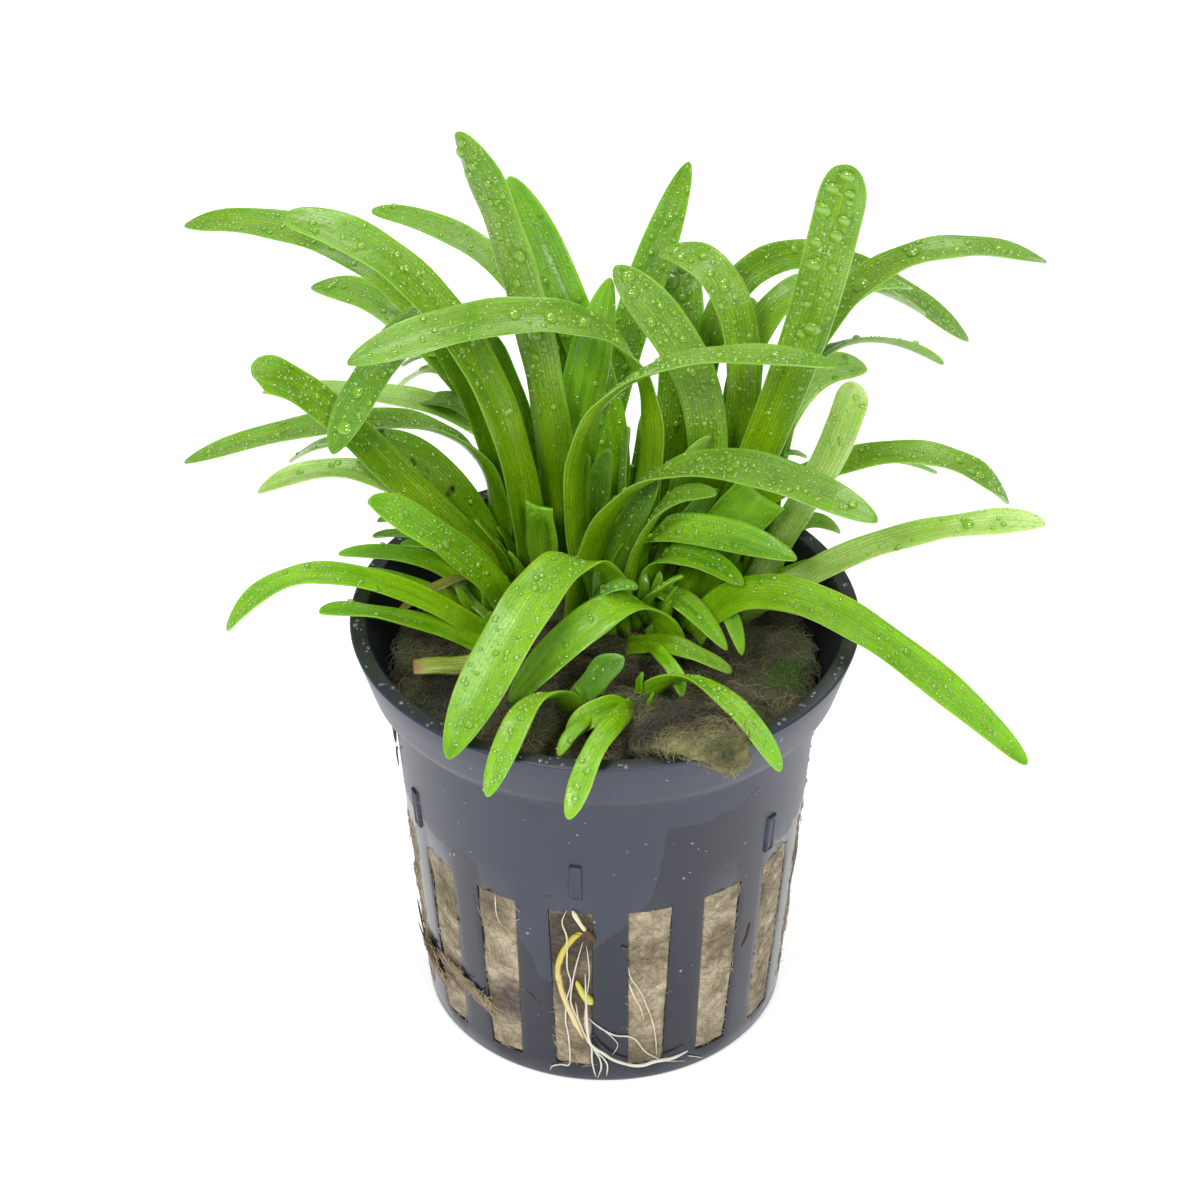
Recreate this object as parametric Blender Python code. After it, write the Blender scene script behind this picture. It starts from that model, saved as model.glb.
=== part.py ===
"""Dwarf sagittaria in a slotted net pot, modelled at its real size.

The origin is the middle of the pot's base, on the surface it stands on. +Z is up and the
photographed front faces -Y. Sizes below are in millimetres and are turned to metres when a
mesh is made.
"""

import math
from collections import namedtuple

import bmesh
import bpy
from mathutils import Vector

MM = 0.001
GAP = 0.3

# Net pot
POT_HEIGHT = 50.0
RIM_RADIUS = 27.5
RIM_FACE = 1.9
RIM_EDGE = 0.2
COLLAR_BOTTOM = 43.2
COLLAR_LIP = 0.5
COLLAR_RADIUS = 25.6
NECK_HEIGHT = 41.0
NECK_RADIUS = 23.3
BASE_RADIUS = 20.3
WALL = 1.0
FLOOR = 1.6
FOOT_BEVEL = 0.6
SLOT_COUNT = 16
SLOT_BOTTOM = 2.7
SLOT_TOP = 26.2
SLOT_WIDTH_TOP = 4.9
SLOT_WIDTH_BOTTOM = 3.9
FRONT_RIB_TURN = 1.5
TAB_WIDTH = 1.4
TAB_HEIGHT = 5.0
TAB_BOTTOM = 28.2
TAB_RISE = 0.3
TAB_ROOT = 0.6
TAB_BEARINGS = (-98, -38, -155, 22, 82, 142)
POT_SIDES = 64
CUTTER_REACH = 4.0

# Runner and roots
RUNNER_THICK = 0.7
ROOT_THICK = 0.5
ROOT_SIDES = 6

# Rock wool
WOOL_TOP = 44.0
WOOL_EDGE_RADIUS = 22.9
WOOL_CLEAR = 0.4
WOOL_SIDES = 32
# A ring of the wool's top is (radius, drop below the lumps).
WOOL_RINGS = ((WOOL_EDGE_RADIUS, 1.2), (WOOL_EDGE_RADIUS - 1.0, 0.3), (16.0, 0.0), (9.0, 0.0),
              (3.0, 0.0))
# A ring of the tuft is (bearing, radius, height, width, depth).
TUFT_RINGS = (
    (-64, 15.0, 46.4, 2.0, 0.8),
    (-64, 17.5, 46.8, 7.0, 2.6),
    (-66, 21.0, 47.4, 10.0, 3.6),
    (-67, 23.6, 49.2, 9.0, 3.4),
    (-68, 25.2, 51.1, 8.0, 1.4),
    (-70, 27.6, 51.0, 6.0, 1.2),
    (-71, 28.6, 50.2, 2.5, 0.8),
)
TUFT_SIDES = 10

# Rosettes
FOOT_HEIGHT = 46.7
CROWN_TOP = 45.9
CROWN_BOTTOM = 45.0
CROWN_SIDES = 14
# A ring of a crown is (share of its radii, height).
CROWN_RINGS = ((0.9, CROWN_BOTTOM), (1.0, CROWN_BOTTOM + 0.4), (0.75, CROWN_TOP - 0.2),
               (0.35, CROWN_TOP))
LEAF_BASE_SHARE = 0.5
LEAF_FULL_WIDTH_AT = 0.75
LEAF_TIP_LENGTH = 1.0
LEAF_THICK_BASE = 0.9
LEAF_THICK_TIP = 0.5
LEAF_TIP_THINNING = 0.6
LEAF_BLUNT_END = 0.12
LEAF_KEEL = 0.12
BLADE_STOPS = (0.0, 0.12, 0.26, 0.4, 0.54, 0.68, 0.83, 1.0)
TIP_STOPS = (0.4, 0.72, 0.92, 1.0)
STUB_STOPS = (0.0, 0.3, 0.6, 1.0)

Leaf = namedtuple("Leaf", "foot middle tip width roll cut", defaults=(0.0, False))

Crown = namedtuple("Crown", "centre radii")

CROWNS = {
    "main": Crown((-4.5, 12.5), (8.5, 8.0)),
    "right": Crown((12.0, 13.5), (5.5, 6.0)),
    "middle": Crown((3.5, 2.0), (7.5, 4.0)),
    "left": Crown((-12.0, 0.8), (3.0, 5.8)),
    "front": Crown((0.8, -11.5), (5.2, 3.2)),
}

# Every leaf is a strap along the curve through its foot, its middle and its tip. A foot
# stands at FOOT_HEIGHT. Roll turns the blade about its own length, in degrees.
LEAVES = {
    "main": (
        Leaf((-9.5, 16.8), (-22, 23, 76.2), (-46.5, 34, 78.3), 4.8, -8),
        Leaf((-9.5, 11.0), (-17.7, 11, 79.4), (-33.8, 16, 89.5), 4.8, -22),
        Leaf((-2.5, 18.8), (-7, 22.6, 73.6), (-25.7, 34, 80.2), 3.9, -8),
        Leaf((-5.3, 14.0), (-7.8, 14.5, 76.2), (-15.5, 19, 98), 5.6, 75),
        Leaf((0.5, 18.8), (-1, 20.3, 66.2), (-10.5, 31, 86.1), 4.6, -25),
        Leaf((2.0, 10.5), (1, 9.5, 78.3), (-26.5, 0, 81.3), 4.8, -22),
        Leaf((-3.8, 15.8), (-3.5, 16.2, 57.8), (0.5, 17, 81.6), 5.4, -85),
        Leaf((-1.5, 8.0), (0.5, 6, 73.5), (23.6, -3, 82.9), 3.6, 5),
        Leaf((-2.5, 5.0), (6.5, 3.5, 65.6), (28, -9, 67.8), 4.8, 15),
        Leaf((3.5, 11.5), (28, 8, 64.3), (43.3, 6, 60), 4.2, 0),
        Leaf((-10.0, 8.5), (-28, 7, 69.5), (-36.9, 5, 76.9), 4.6, -32),
        Leaf((-12.5, 14.5), (-18.5, 14.5, 64), (-46.5, 18, 57.4), 4.8, 0),
        Leaf((-7.0, 16.5), (-15.3, 17, 76.8), (-28.6, 1.5, 69.3), 4.6, -10),
        Leaf((-8.5, 19.6), (-14, 22, 60), (-39, 33, 57.1), 3.8, 0),
        Leaf((-12.5, 8.5), (-24, 7.5, 61.8), (-37, 4, 62.7), 3.8, 0),
        Leaf((-11.0, 11.8), (-19, 11.4, 61), (-26.9, 10, 64.6), 4.6, -25),
        Leaf((-6.5, 8.5), (-7, 7.5, 53), (-7.5, 7, 59), 3.4, 0),
        Leaf((4.0, 8.3), (6.8, 6.2, 56.2), (20.3, -2, 58.2), 4.0, 10),
        Leaf((4.5, 5.8), (6.5, 5, 52.5), (14.5, 0, 54.5), 3.0, 10),
        Leaf((-1.5, 21.2), (-0.3, 24, 57.7), (9.3, 34, 86.3), 4.6, -80),
        Leaf((-7.5, 22.0), (-18.7, 28.5, 65.8), (-33.2, 39, 67.5), 4.2, -15),
    ),
    "right": (
        Leaf((8.5, 14.5), (10.8, 14.5, 66), (1, 19, 81.8), 4.8, -45),
        Leaf((6.5, 19.0), (8.3, 26, 67.2), (7.6, 36, 73.7), 5.2, 0),
        Leaf((12.0, 17.0), (14.5, 19, 74.4), (6, 27, 78.8), 4.2, -20),
        Leaf((12.0, 13.0), (21, 9.5, 79.8), (24.4, 5, 101.7), 5.1, -70),
        Leaf((9.5, 8.5), (14.3, 6, 59.2), (18.3, 4.5, 60.8), 4.6, 20),
        Leaf((11.0, 19.5), (16, 27, 76.7), (42, 41, 59.1), 3.8, 0),
        Leaf((16.5, 14.5), (26, 18.5, 77.8), (48, 25, 78.8), 4.6, 0),
        Leaf((14.3, 18.3), (18.7, 24, 73.5), (36, 33, 67.4), 4.2, 0),
        Leaf((18.0, 14.5), (23, 20.5, 71.8), (33.7, 27, 74.3), 3.0, 0),
        Leaf((15.8, 17.0), (20.3, 22.5, 61.8), (29.3, 29, 62.9), 3.8, 10),
        Leaf((16.5, 9.5), (23, 3, 67), (25.7, -3, 80.8), 3.7, -60),
        Leaf((17.0, 6.5), (32.2, 1, 59), (46, -4, 64.1), 4.2, 0),
    ),
    "middle": (
        Leaf((1.0, 1.5), (-4.5, -4, 58.2), (-16, -25.5, 49.8), 5.0, 0),
        Leaf((7.0, -1.0), (1, -5, 54), (-10, -13, 47.5), 4.0, 0),
        Leaf((10.0, 1.5), (22.4, -4.3, 53.8), (44.8, -14, 40.1), 4.6, 10),
        Leaf((-3.5, -1.2), (-0.5, -2, 53.7), (3.5, -3, 55.2), 2.8, 0),
        Leaf((5.5, 3.0), (7, 2.5, 50.5), (13, -5, 48.5), 3.4, 0),
    ),
    "left": (
        Leaf((-10.0, 3.0), (-15.5, 0, 57.7), (-24.6, -5, 67.7), 4.2, -40),
        Leaf((-13.0, 0.3), (-28.8, -4, 57.8), (-39.7, -9, 54), 3.4, 0),
        Leaf((-13.5, 4.0), (-23.5, 2.5, 52.2), (-31, 2.3, 52.3), 3.0, 0),
        Leaf((-11.5, 6.5), (-15.5, 2.8, 52.3), (-22.3, 0.2, 49.8), 1.7, 0),
        Leaf((-13.0, -2.0), (-22.4, -2.5, 51.2), (-30.2, -6, 54.2), 2.8, 0),
        Leaf((-12.5, -4.5), (-17, -5.5, 46.7), (-20.5, -6, 46.8), 2.6, 0, True),
    ),
    "front": (
        Leaf((5.0, -9.5), (11, -16, 51.8), (17.8, -27, 49.4), 2.8, 0),
        Leaf((-2.5, -10.5), (-0.5, -10.5, 49.5), (2, -11, 52), 3.2, 50),
        Leaf((0.0, -13.5), (-1.5, -15, 48.5), (-4, -18, 46.5), 2.6, 0),
        Leaf((2.5, -13.0), (-0.2, -24.5, 51.8), (-3.8, -32, 47.2), 2.5, 0),
        Leaf((-3.5, -12.5), (-7.6, -20.5, 52.8), (-12, -29, 47.7), 2.8, 0),
    ),
}


# The runner and the longest root. A stop is (degrees from front, rise off wall, height).
RUNNER = (
    (-5.8, -0.3, 23.4), (-8.6, -0.2, 22.6), (-11.8, -0.2, 20.3), (-13.8, -0.2, 17.6),
    (-13.4, -0.2, 15.0), (-11.6, -0.1, 12.3), (-9.2, 0.0, 9.8), (-6.6, 0.1, 7.2),
)
LONG_ROOT = (
    (-5.6, 0.5, 17.5), (-5.4, 0.6, 12.0), (-5.0, 0.8, 8.6), (-4.0, 0.8, 6.8), (-0.5, 0.7, 5.4),
    (2.8, 0.6, 4.2), (8.2, 0.6, 3.2), (11.8, 0.6, 3.0), (15.2, 0.6, 3.3), (21.0, 0.6, 3.2),
    (26.0, 0.6, 3.6),
)


def clear_scene():
    """Remove every object that the file starts with."""
    for item in list(bpy.data.objects):
        bpy.data.objects.remove(item, do_unlink=True)


def make_material(name, rgb, roughness):
    """Return a Principled material of one linear colour."""
    material = bpy.data.materials.new(name)
    material.use_nodes = True
    shader = material.node_tree.nodes["Principled BSDF"]
    shader.inputs["Base Color"].default_value = (*rgb, 1.0)
    shader.inputs["Roughness"].default_value = roughness
    shader.inputs["Metallic"].default_value = 0.0
    material.diffuse_color = (*rgb, 1.0)
    return material


def add_object(name, bm, material, smooth_angle=40.0):
    """Turn a bmesh in millimetres into a named object in metres."""
    bmesh.ops.recalc_face_normals(bm, faces=bm.faces)
    bmesh.ops.scale(bm, vec=(MM, MM, MM), verts=bm.verts)
    mesh = bpy.data.meshes.new(name)
    bm.to_mesh(mesh)
    bm.free()
    mesh.shade_smooth()
    mesh.set_sharp_from_angle(angle=math.radians(smooth_angle))
    mesh.materials.append(material)
    item = bpy.data.objects.new(name, mesh)
    bpy.context.scene.collection.objects.link(item)
    return item


def loft(rings):
    """Return a closed bmesh skinned over a list of equal rings, with both ends capped."""
    bm = bmesh.new()
    rows = [[bm.verts.new(point) for point in ring] for ring in rings]
    count = len(rows[0])
    for lower, upper in zip(rows[:-1], rows[1:]):
        for k in range(count):
            after = (k + 1) % count
            bm.faces.new((lower[k], lower[after], upper[after], upper[k]))
    bm.faces.new(rows[0])
    bm.faces.new(rows[-1])
    return bm


def circle(radius, height, sides):
    """Return the points of a level circle about the pot's axis."""
    turns = (2.0 * math.pi * k / sides for k in range(sides))
    return [Vector((radius * math.cos(a), radius * math.sin(a), height)) for a in turns]


def pot_radius(height):
    """Return the outside radius of the pot's tapered body below its collar."""
    share = (height - SLOT_BOTTOM) / (NECK_HEIGHT - SLOT_BOTTOM)
    return BASE_RADIUS + (NECK_RADIUS - BASE_RADIUS) * share


def pot_profile():
    """Return (radius, height) points down the pot's outside and up its inside."""
    outside = [
        (RIM_RADIUS - RIM_EDGE, POT_HEIGHT),
        (RIM_RADIUS, POT_HEIGHT - RIM_EDGE),
        (COLLAR_RADIUS, COLLAR_BOTTOM + COLLAR_LIP),
        (COLLAR_RADIUS - COLLAR_LIP, COLLAR_BOTTOM),
        (NECK_RADIUS + COLLAR_LIP, COLLAR_BOTTOM - COLLAR_LIP),
        (NECK_RADIUS, NECK_HEIGHT),
        (pot_radius(SLOT_TOP), SLOT_TOP),
        (pot_radius(SLOT_BOTTOM), SLOT_BOTTOM),
        (pot_radius(FOOT_BEVEL), FOOT_BEVEL),
        (pot_radius(FOOT_BEVEL) - FOOT_BEVEL, 0.0),
    ]
    inside = [
        (BASE_RADIUS - WALL - FOOT_BEVEL, FLOOR),
        (pot_radius(SLOT_BOTTOM) - WALL, SLOT_BOTTOM),
        (pot_radius(SLOT_TOP) - WALL, SLOT_TOP),
        (NECK_RADIUS - WALL, NECK_HEIGHT),
        (COLLAR_RADIUS - WALL, COLLAR_BOTTOM + COLLAR_LIP),
        (RIM_RADIUS - RIM_FACE, POT_HEIGHT - RIM_EDGE),
        (RIM_RADIUS - RIM_FACE + RIM_EDGE, POT_HEIGHT),
    ]
    return outside, inside


def pot_shell():
    """Return the pot's turned wall and floor as one closed bmesh."""
    bm = bmesh.new()
    outside, inside = pot_profile()
    rows = [[bm.verts.new(p) for p in circle(r, z, POT_SIDES)] for r, z in outside + inside]
    for upper, lower in zip(rows, rows[1:] + rows[:1]):
        if upper is rows[len(outside) - 1]:
            continue
        for k in range(POT_SIDES):
            after = (k + 1) % POT_SIDES
            bm.faces.new((upper[k], upper[after], lower[after], lower[k]))
    bm.faces.new(rows[len(outside) - 1])
    bm.faces.new(rows[len(outside)])
    return bm


def radial_block(bearing, inner, outer, low, high):
    """Return the eight corners of a block across the wall; low and high are (width, z)."""
    turn = math.radians(bearing)
    outward = Vector((math.cos(turn), math.sin(turn), 0.0))
    along = Vector((-outward.y, outward.x, 0.0))
    rings = []
    for width, height in (low, high):
        corners = ((inner, -0.5), (outer, -0.5), (outer, 0.5), (inner, 0.5))
        rings.append([outward * r + along * (side * width) + Vector((0, 0, height))
                      for r, side in corners])
    return rings


def add_block(bm, rings):
    """Add a closed block to a bmesh from its lower and upper rings."""
    block = loft(rings)
    mesh = bpy.data.meshes.new("block")
    block.to_mesh(mesh)
    block.free()
    bm.from_mesh(mesh)
    bpy.data.meshes.remove(mesh)


def slot_bearing(index):
    """Return the bearing of a slot's middle, in degrees about the pot's axis."""
    pitch = 360.0 / SLOT_COUNT
    return -90.0 + FRONT_RIB_TURN + pitch * (index + 0.5)


def build_pot(material):
    """Make the net pot: a turned shell with its slots cut and its tabs joined on."""
    cutters = bmesh.new()
    for index in range(SLOT_COUNT):
        low = (SLOT_WIDTH_BOTTOM, SLOT_BOTTOM)
        high = (SLOT_WIDTH_TOP, SLOT_TOP)
        inner = BASE_RADIUS - CUTTER_REACH
        outer = NECK_RADIUS + CUTTER_REACH
        rings = radial_block(slot_bearing(index), inner, outer, low, high)
        add_block(cutters, rings)
    tabs = bmesh.new()
    for bearing in TAB_BEARINGS:
        reach = pot_radius(TAB_BOTTOM + TAB_HEIGHT)
        low = (TAB_WIDTH, TAB_BOTTOM)
        high = (TAB_WIDTH, TAB_BOTTOM + TAB_HEIGHT)
        add_block(tabs, radial_block(bearing, reach - TAB_ROOT, reach + TAB_RISE, low, high))
    pot = add_object("net_pot", pot_shell(), material)
    guides = (("slot_cutters", cutters, "DIFFERENCE"), ("tab_blocks", tabs, "UNION"))
    for name, bm, operation in guides:
        guide = add_object(name, bm, material)
        guide.hide_render = True
        guide.display_type = "WIRE"
        modifier = pot.modifiers.new(name, "BOOLEAN")
        modifier.operation = operation
        modifier.solver = "EXACT"
        modifier.object = guide
    return pot


def wool_height(x, y):
    """Return the height of the wool's uneven top at a place."""
    lumps = 0.45 * math.sin(0.31 * x + 0.9) * math.cos(0.27 * y)
    return WOOL_TOP + lumps + 0.2 * math.sin(0.7 * x - 0.5 * y)


def build_wool(material):
    """Make the rock wool plug with its lumpy top, clear of the pot by GAP."""
    rings = []
    for height in (FLOOR + GAP, SLOT_BOTTOM, 14.0, SLOT_TOP, NECK_HEIGHT):
        radius = pot_radius(max(height, SLOT_BOTTOM)) - WALL - WOOL_CLEAR
        if height < SLOT_BOTTOM:
            radius -= FOOT_BEVEL
        rings.append(circle(radius, height, WOOL_SIDES))
    for radius, drop in WOOL_RINGS:
        ring = circle(radius, 0.0, WOOL_SIDES)
        rings.append([Vector((p.x, p.y, wool_height(p.x, p.y) - drop)) for p in ring])
    return add_object("rock_wool", loft(rings), material)


def tuft_ring(bearing, radius, height, width, depth):
    """Return one upright oval ring of the tuft, facing outward from the pot's axis."""
    turn = math.radians(bearing)
    outward = Vector((math.cos(turn), math.sin(turn), 0.0))
    along = Vector((-outward.y, outward.x, 0.0))
    ring = []
    for k in range(TUFT_SIDES):
        a = 2.0 * math.pi * k / TUFT_SIDES
        lift = height + 0.5 * depth * math.sin(a)
        ring.append(outward * radius + along * (0.5 * width * math.cos(a)) + Vector((0, 0, lift)))
    return ring


def build_tuft(material):
    """Make the loose tuft of wool that spills over the rim at the front right."""
    return add_object("wool_tuft", loft([tuft_ring(*ring) for ring in TUFT_RINGS]), material)


def build_crown(name, crown, material):
    """Make one low, pale crown: the swollen stem base that a rosette grows from."""
    rings = []
    for share, height in CROWN_RINGS:
        ring = []
        for k in range(CROWN_SIDES):
            a = 2.0 * math.pi * k / CROWN_SIDES
            x = crown.centre[0] + crown.radii[0] * share * math.cos(a)
            y = crown.centre[1] + crown.radii[1] * share * math.sin(a)
            ring.append(Vector((x, y, height)))
        rings.append(ring)
    return add_object(name, loft(rings), material)


def leaf_curve(leaf):
    """Return the leaf's three curve controls: foot, pull and tip."""
    foot = Vector((*leaf.foot, FOOT_HEIGHT))
    middle = Vector(leaf.middle)
    tip = Vector(leaf.tip)
    pull = middle * 2.0 - (foot + tip) * 0.5
    return foot, pull, tip


def leaf_steps(length, width, cut):
    """Return the shares of the curve where the leaf has a section, and where its tip starts."""
    start = 1.0 - LEAF_TIP_LENGTH * width / length
    if cut:
        return list(STUB_STOPS), 1.0
    blade = [start * share for share in BLADE_STOPS]
    point = [start + (1.0 - start) * share for share in TIP_STOPS]
    return blade + point, start


def leaf_width(leaf, share, start):
    """Return the blade's width at a share of its curve."""
    grow = min(share / LEAF_FULL_WIDTH_AT, 1.0)
    grow = grow * grow * (3.0 - 2.0 * grow)
    width = leaf.width * (LEAF_BASE_SHARE + (1.0 - LEAF_BASE_SHARE) * grow)
    if share > start:
        past = (share - start) / (1.0 - start)
        width *= max(math.sqrt(max(1.0 - past * past, 0.0)), LEAF_BLUNT_END)
    return width


def leaf_rings(leaf):
    """Return the keeled four-point sections of one leaf from foot to tip."""
    foot, pull, tip = leaf_curve(leaf)
    length = ((pull - foot).length + (tip - pull).length + (tip - foot).length) * 0.5
    shares, start = leaf_steps(length, leaf.width, leaf.cut)
    run = tip - foot
    across = Vector((-run.y, run.x, 0.0)).normalized()
    rings = []
    for share in shares:
        rest = 1.0 - share
        place = foot * rest * rest + pull * 2.0 * share * rest + tip * share * share
        forward = ((pull - foot) * rest + (tip - pull) * share).normalized()
        side = (across - forward * across.dot(forward)).normalized()
        upper = forward.cross(side)
        turn = math.radians(leaf.roll)
        edge = side * math.cos(turn) + upper * math.sin(turn)
        face = upper * math.cos(turn) - side * math.sin(turn)
        half = leaf_width(leaf, share, start) * 0.5
        thick = LEAF_THICK_BASE + (LEAF_THICK_TIP - LEAF_THICK_BASE) * share
        if share > start:
            thick *= 1.0 - LEAF_TIP_THINNING * (share - start) / (1.0 - start)
        keel = 2.0 * half * LEAF_KEEL + 0.5 * thick
        rings.append([
            place + edge * half + face * (keel - 0.5 * thick),
            place + face * (0.5 * thick),
            place - edge * half + face * (keel - 0.5 * thick),
            place - face * (0.5 * thick),
        ])
    return rings


def smooth_route(stops, steps=4):
    """Return points on a smooth curve through the stops, with steps points to each stretch."""
    ends = [stops[0] * 2.0 - stops[1], *stops, stops[-1] * 2.0 - stops[-2]]
    points = []
    for before, start, end, after in zip(ends, ends[1:], ends[2:], ends[3:]):
        for k in range(steps):
            t = k / steps
            points.append(0.5 * (start * 2.0 + (end - before) * t
                                 + (before * 2.0 - start * 5.0 + end * 4.0 - after) * t * t
                                 + (start * 3.0 - before - end * 3.0 + after) * t * t * t))
    points.append(stops[-1])
    return points


def build_root(name, stops, thickness, material):
    """Make a root or runner as a tube; a stop is (degrees from front, rise off wall, height)."""
    route = []
    for turn, rise, height in stops:
        a = math.radians(turn - 90.0)
        reach = pot_radius(max(height, SLOT_BOTTOM)) + rise
        route.append(Vector((reach * math.cos(a), reach * math.sin(a), height)))
    points = smooth_route(route)
    rings = []
    for k, point in enumerate(points):
        forward = (points[min(k + 1, len(points) - 1)] - points[max(k - 1, 0)]).normalized()
        outward = Vector((point.x, point.y, 0.0)).normalized()
        side = forward.cross(outward).normalized()
        upper = side.cross(forward)
        turns = (2.0 * math.pi * n / ROOT_SIDES for n in range(ROOT_SIDES))
        rings.append([point + (side * math.cos(t) + upper * math.sin(t)) * 0.5 * thickness
                      for t in turns])
    return add_object(name, loft(rings), material)


def build_rosettes(crown_material, leaf_material):
    """Make every crown and the leaves that stand on it."""
    for rosette, crown in CROWNS.items():
        build_crown(f"crown_{rosette}", crown, crown_material)
        for number, leaf in enumerate(LEAVES[rosette], start=1):
            add_object(f"leaf_{rosette}_{number:02d}", loft(leaf_rings(leaf)), leaf_material)


def main():
    """Build the potted plant."""
    clear_scene()
    plastic = make_material("pot_plastic", (0.06, 0.065, 0.08), 0.32)
    wool = make_material("rock_wool", (0.33, 0.26, 0.15), 0.95)
    pale = make_material("crown_flesh", (0.45, 0.55, 0.18), 0.5)
    straw = make_material("runner_yellow", (0.66, 0.56, 0.08), 0.45)
    cream = make_material("root_white", (0.75, 0.72, 0.62), 0.5)
    green = make_material("leaf_green", (0.16, 0.38, 0.04), 0.4)
    build_pot(plastic)
    build_wool(wool)
    build_tuft(wool)
    build_rosettes(pale, green)
    build_root("runner", RUNNER, RUNNER_THICK, straw)
    build_root("long_root", LONG_ROOT, ROOT_THICK, cream)


main()
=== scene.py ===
"""Looks of a potted dwarf sagittaria: strap leaves, rock wool and a slotted net pot.

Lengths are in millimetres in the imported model's own frame: the origin is the middle of the
pot's base, +Z is up and the photographed front faces -Y. A mesh is turned to metres when it
is made. Materials read metres, so a noise scale of 1000 is a pattern of one millimetre.
"""

from __future__ import annotations

import logging
import math
from dataclasses import dataclass, field
from enum import Enum
from functools import partial
from typing import Callable, Sequence

import bmesh
import bpy
import numpy as np
from bpy.types import ID, Material, Node, NodeSocket, NodeTree, Object
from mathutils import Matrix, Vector, noise


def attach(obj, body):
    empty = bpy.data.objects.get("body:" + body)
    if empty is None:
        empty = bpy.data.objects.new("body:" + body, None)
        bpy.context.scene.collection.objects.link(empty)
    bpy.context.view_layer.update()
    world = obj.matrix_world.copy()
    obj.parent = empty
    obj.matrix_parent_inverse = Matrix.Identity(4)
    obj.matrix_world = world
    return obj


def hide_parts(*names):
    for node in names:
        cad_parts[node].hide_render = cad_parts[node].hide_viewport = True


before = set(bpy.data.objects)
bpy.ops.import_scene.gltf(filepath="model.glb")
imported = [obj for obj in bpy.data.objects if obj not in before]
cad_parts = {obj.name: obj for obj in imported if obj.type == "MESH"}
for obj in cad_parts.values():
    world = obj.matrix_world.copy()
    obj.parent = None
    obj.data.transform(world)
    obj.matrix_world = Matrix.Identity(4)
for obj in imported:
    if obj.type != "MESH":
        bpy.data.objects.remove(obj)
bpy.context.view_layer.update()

LOG = logging.getLogger("sagittaria")
MM = 0.001
FOOT_HEIGHT = 46.7
CAMERA_WAY = Vector((0.0, -0.81, 0.58))
UP = Vector((0.0, 0.0, 1.0))

Point = tuple[float, float, float]
Colour = tuple[float, float, float, float]


def linear(code: str) -> Colour:
    """Turn an sRGB hex colour into linear RGBA.

    Args:
        code: The colour as "#rrggbb".

    Returns:
        The four linear channels.
    """
    channels = [int(code[k:k + 2], 16) / 255.0 for k in (1, 3, 5)]
    toned = [c / 12.92 if c <= 0.04045 else ((c + 0.055) / 1.055) ** 2.4 for c in channels]
    return (*toned, 1.0)


def fill_inputs(tree: NodeTree, item: Node, inputs: dict) -> None:
    """Give a node's inputs their values or links.

    Args:
        tree: The node's tree.
        item: The node.
        inputs: Socket name or index to a value, a hex colour, another node's output, or
            another node, which stands for its first output in use.
    """
    for key, value in inputs.items():
        if isinstance(value, Node):
            value = next(socket for socket in value.outputs if socket.enabled)
        if isinstance(value, NodeSocket):
            tree.links.new(value, item.inputs[key])
        elif isinstance(value, str) and value.startswith("#"):
            item.inputs[key].default_value = linear(value)
        else:
            item.inputs[key].default_value = value


def add_node(tree: NodeTree, kind: str, inputs: dict | None = None, **settings: object) -> Node:
    """Add a node with its settings and links.

    Args:
        tree: The shader or geometry tree.
        kind: The node's type name. One without "Node" in it is a shader node's.
        inputs: What its inputs get, as fill_inputs takes it.
        settings: The node's own properties.

    Returns:
        The new node.
    """
    made = tree.nodes.new(kind if "Node" in kind else "ShaderNode" + kind)
    for key, value in settings.items():
        setattr(made, key, value)
    fill_inputs(tree, made, inputs or {})
    return made


def new_material(name: str) -> tuple[Material, Callable, NodeSocket]:
    """Return a new material, what adds a node to it, and its Object coordinates."""
    material = bpy.data.materials.new(name)
    material.use_nodes = True
    add = partial(add_node, material.node_tree)
    return material, add, add("TexCoord").outputs["Object"]


def dress(material: Material, inputs: dict) -> Material:
    """Fill the inputs of a material's Principled shader and return the material."""
    tree = material.node_tree
    fill_inputs(tree, tree.nodes["Principled BSDF"], inputs)
    return material


def link_object(name: str, data: ID) -> Object:
    """Return a new object that is linked to the scene."""
    item = bpy.data.objects.new(name, data)
    bpy.context.scene.collection.objects.link(item)
    return item


def mesh_object(name: str, points: Sequence, faces: Sequence, material: Material,
                closed: bool = True) -> Object:
    """Make a smooth object in metres from points in millimetres.

    Args:
        name: The piece's name.
        points: The points, in millimetres.
        faces: Each face's point numbers.
        material: Its finish.
        closed: Whether it is a closed shape whose faces are to be turned outwards.

    Returns:
        The object, linked to the scene.
    """
    mesh = bpy.data.meshes.new(name)
    mesh.from_pydata([tuple(c * MM for c in point) for point in points], [], faces)
    mesh.materials.append(material)
    mesh.shade_smooth()
    mesh.update()
    item = link_object(name, mesh)
    if closed:
        turn_outward(item)
    return item


def grid_faces(rows: int, columns: int, closed: bool = True) -> list[tuple[int, ...]]:
    """Return the quads between rows of points, and the two end caps where rows are closed."""
    faces = []
    for low in range(0, (rows - 1) * columns, columns):
        for k in range(columns if closed else columns - 1):
            after = (k + 1) % columns
            faces.append((low + k, low + after, low + columns + after, low + columns + k))
    if closed:
        faces.append(tuple(reversed(range(columns))))
        faces.append(tuple((rows - 1) * columns + k for k in range(columns)))
    return faces


def join_shape(points: list, faces: list, more: Sequence, sides: Sequence) -> None:
    """Add a shape's points and faces to those of the piece that it is part of."""
    first = len(points)
    points += more
    faces += [tuple(first + k for k in face) for face in sides]


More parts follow.
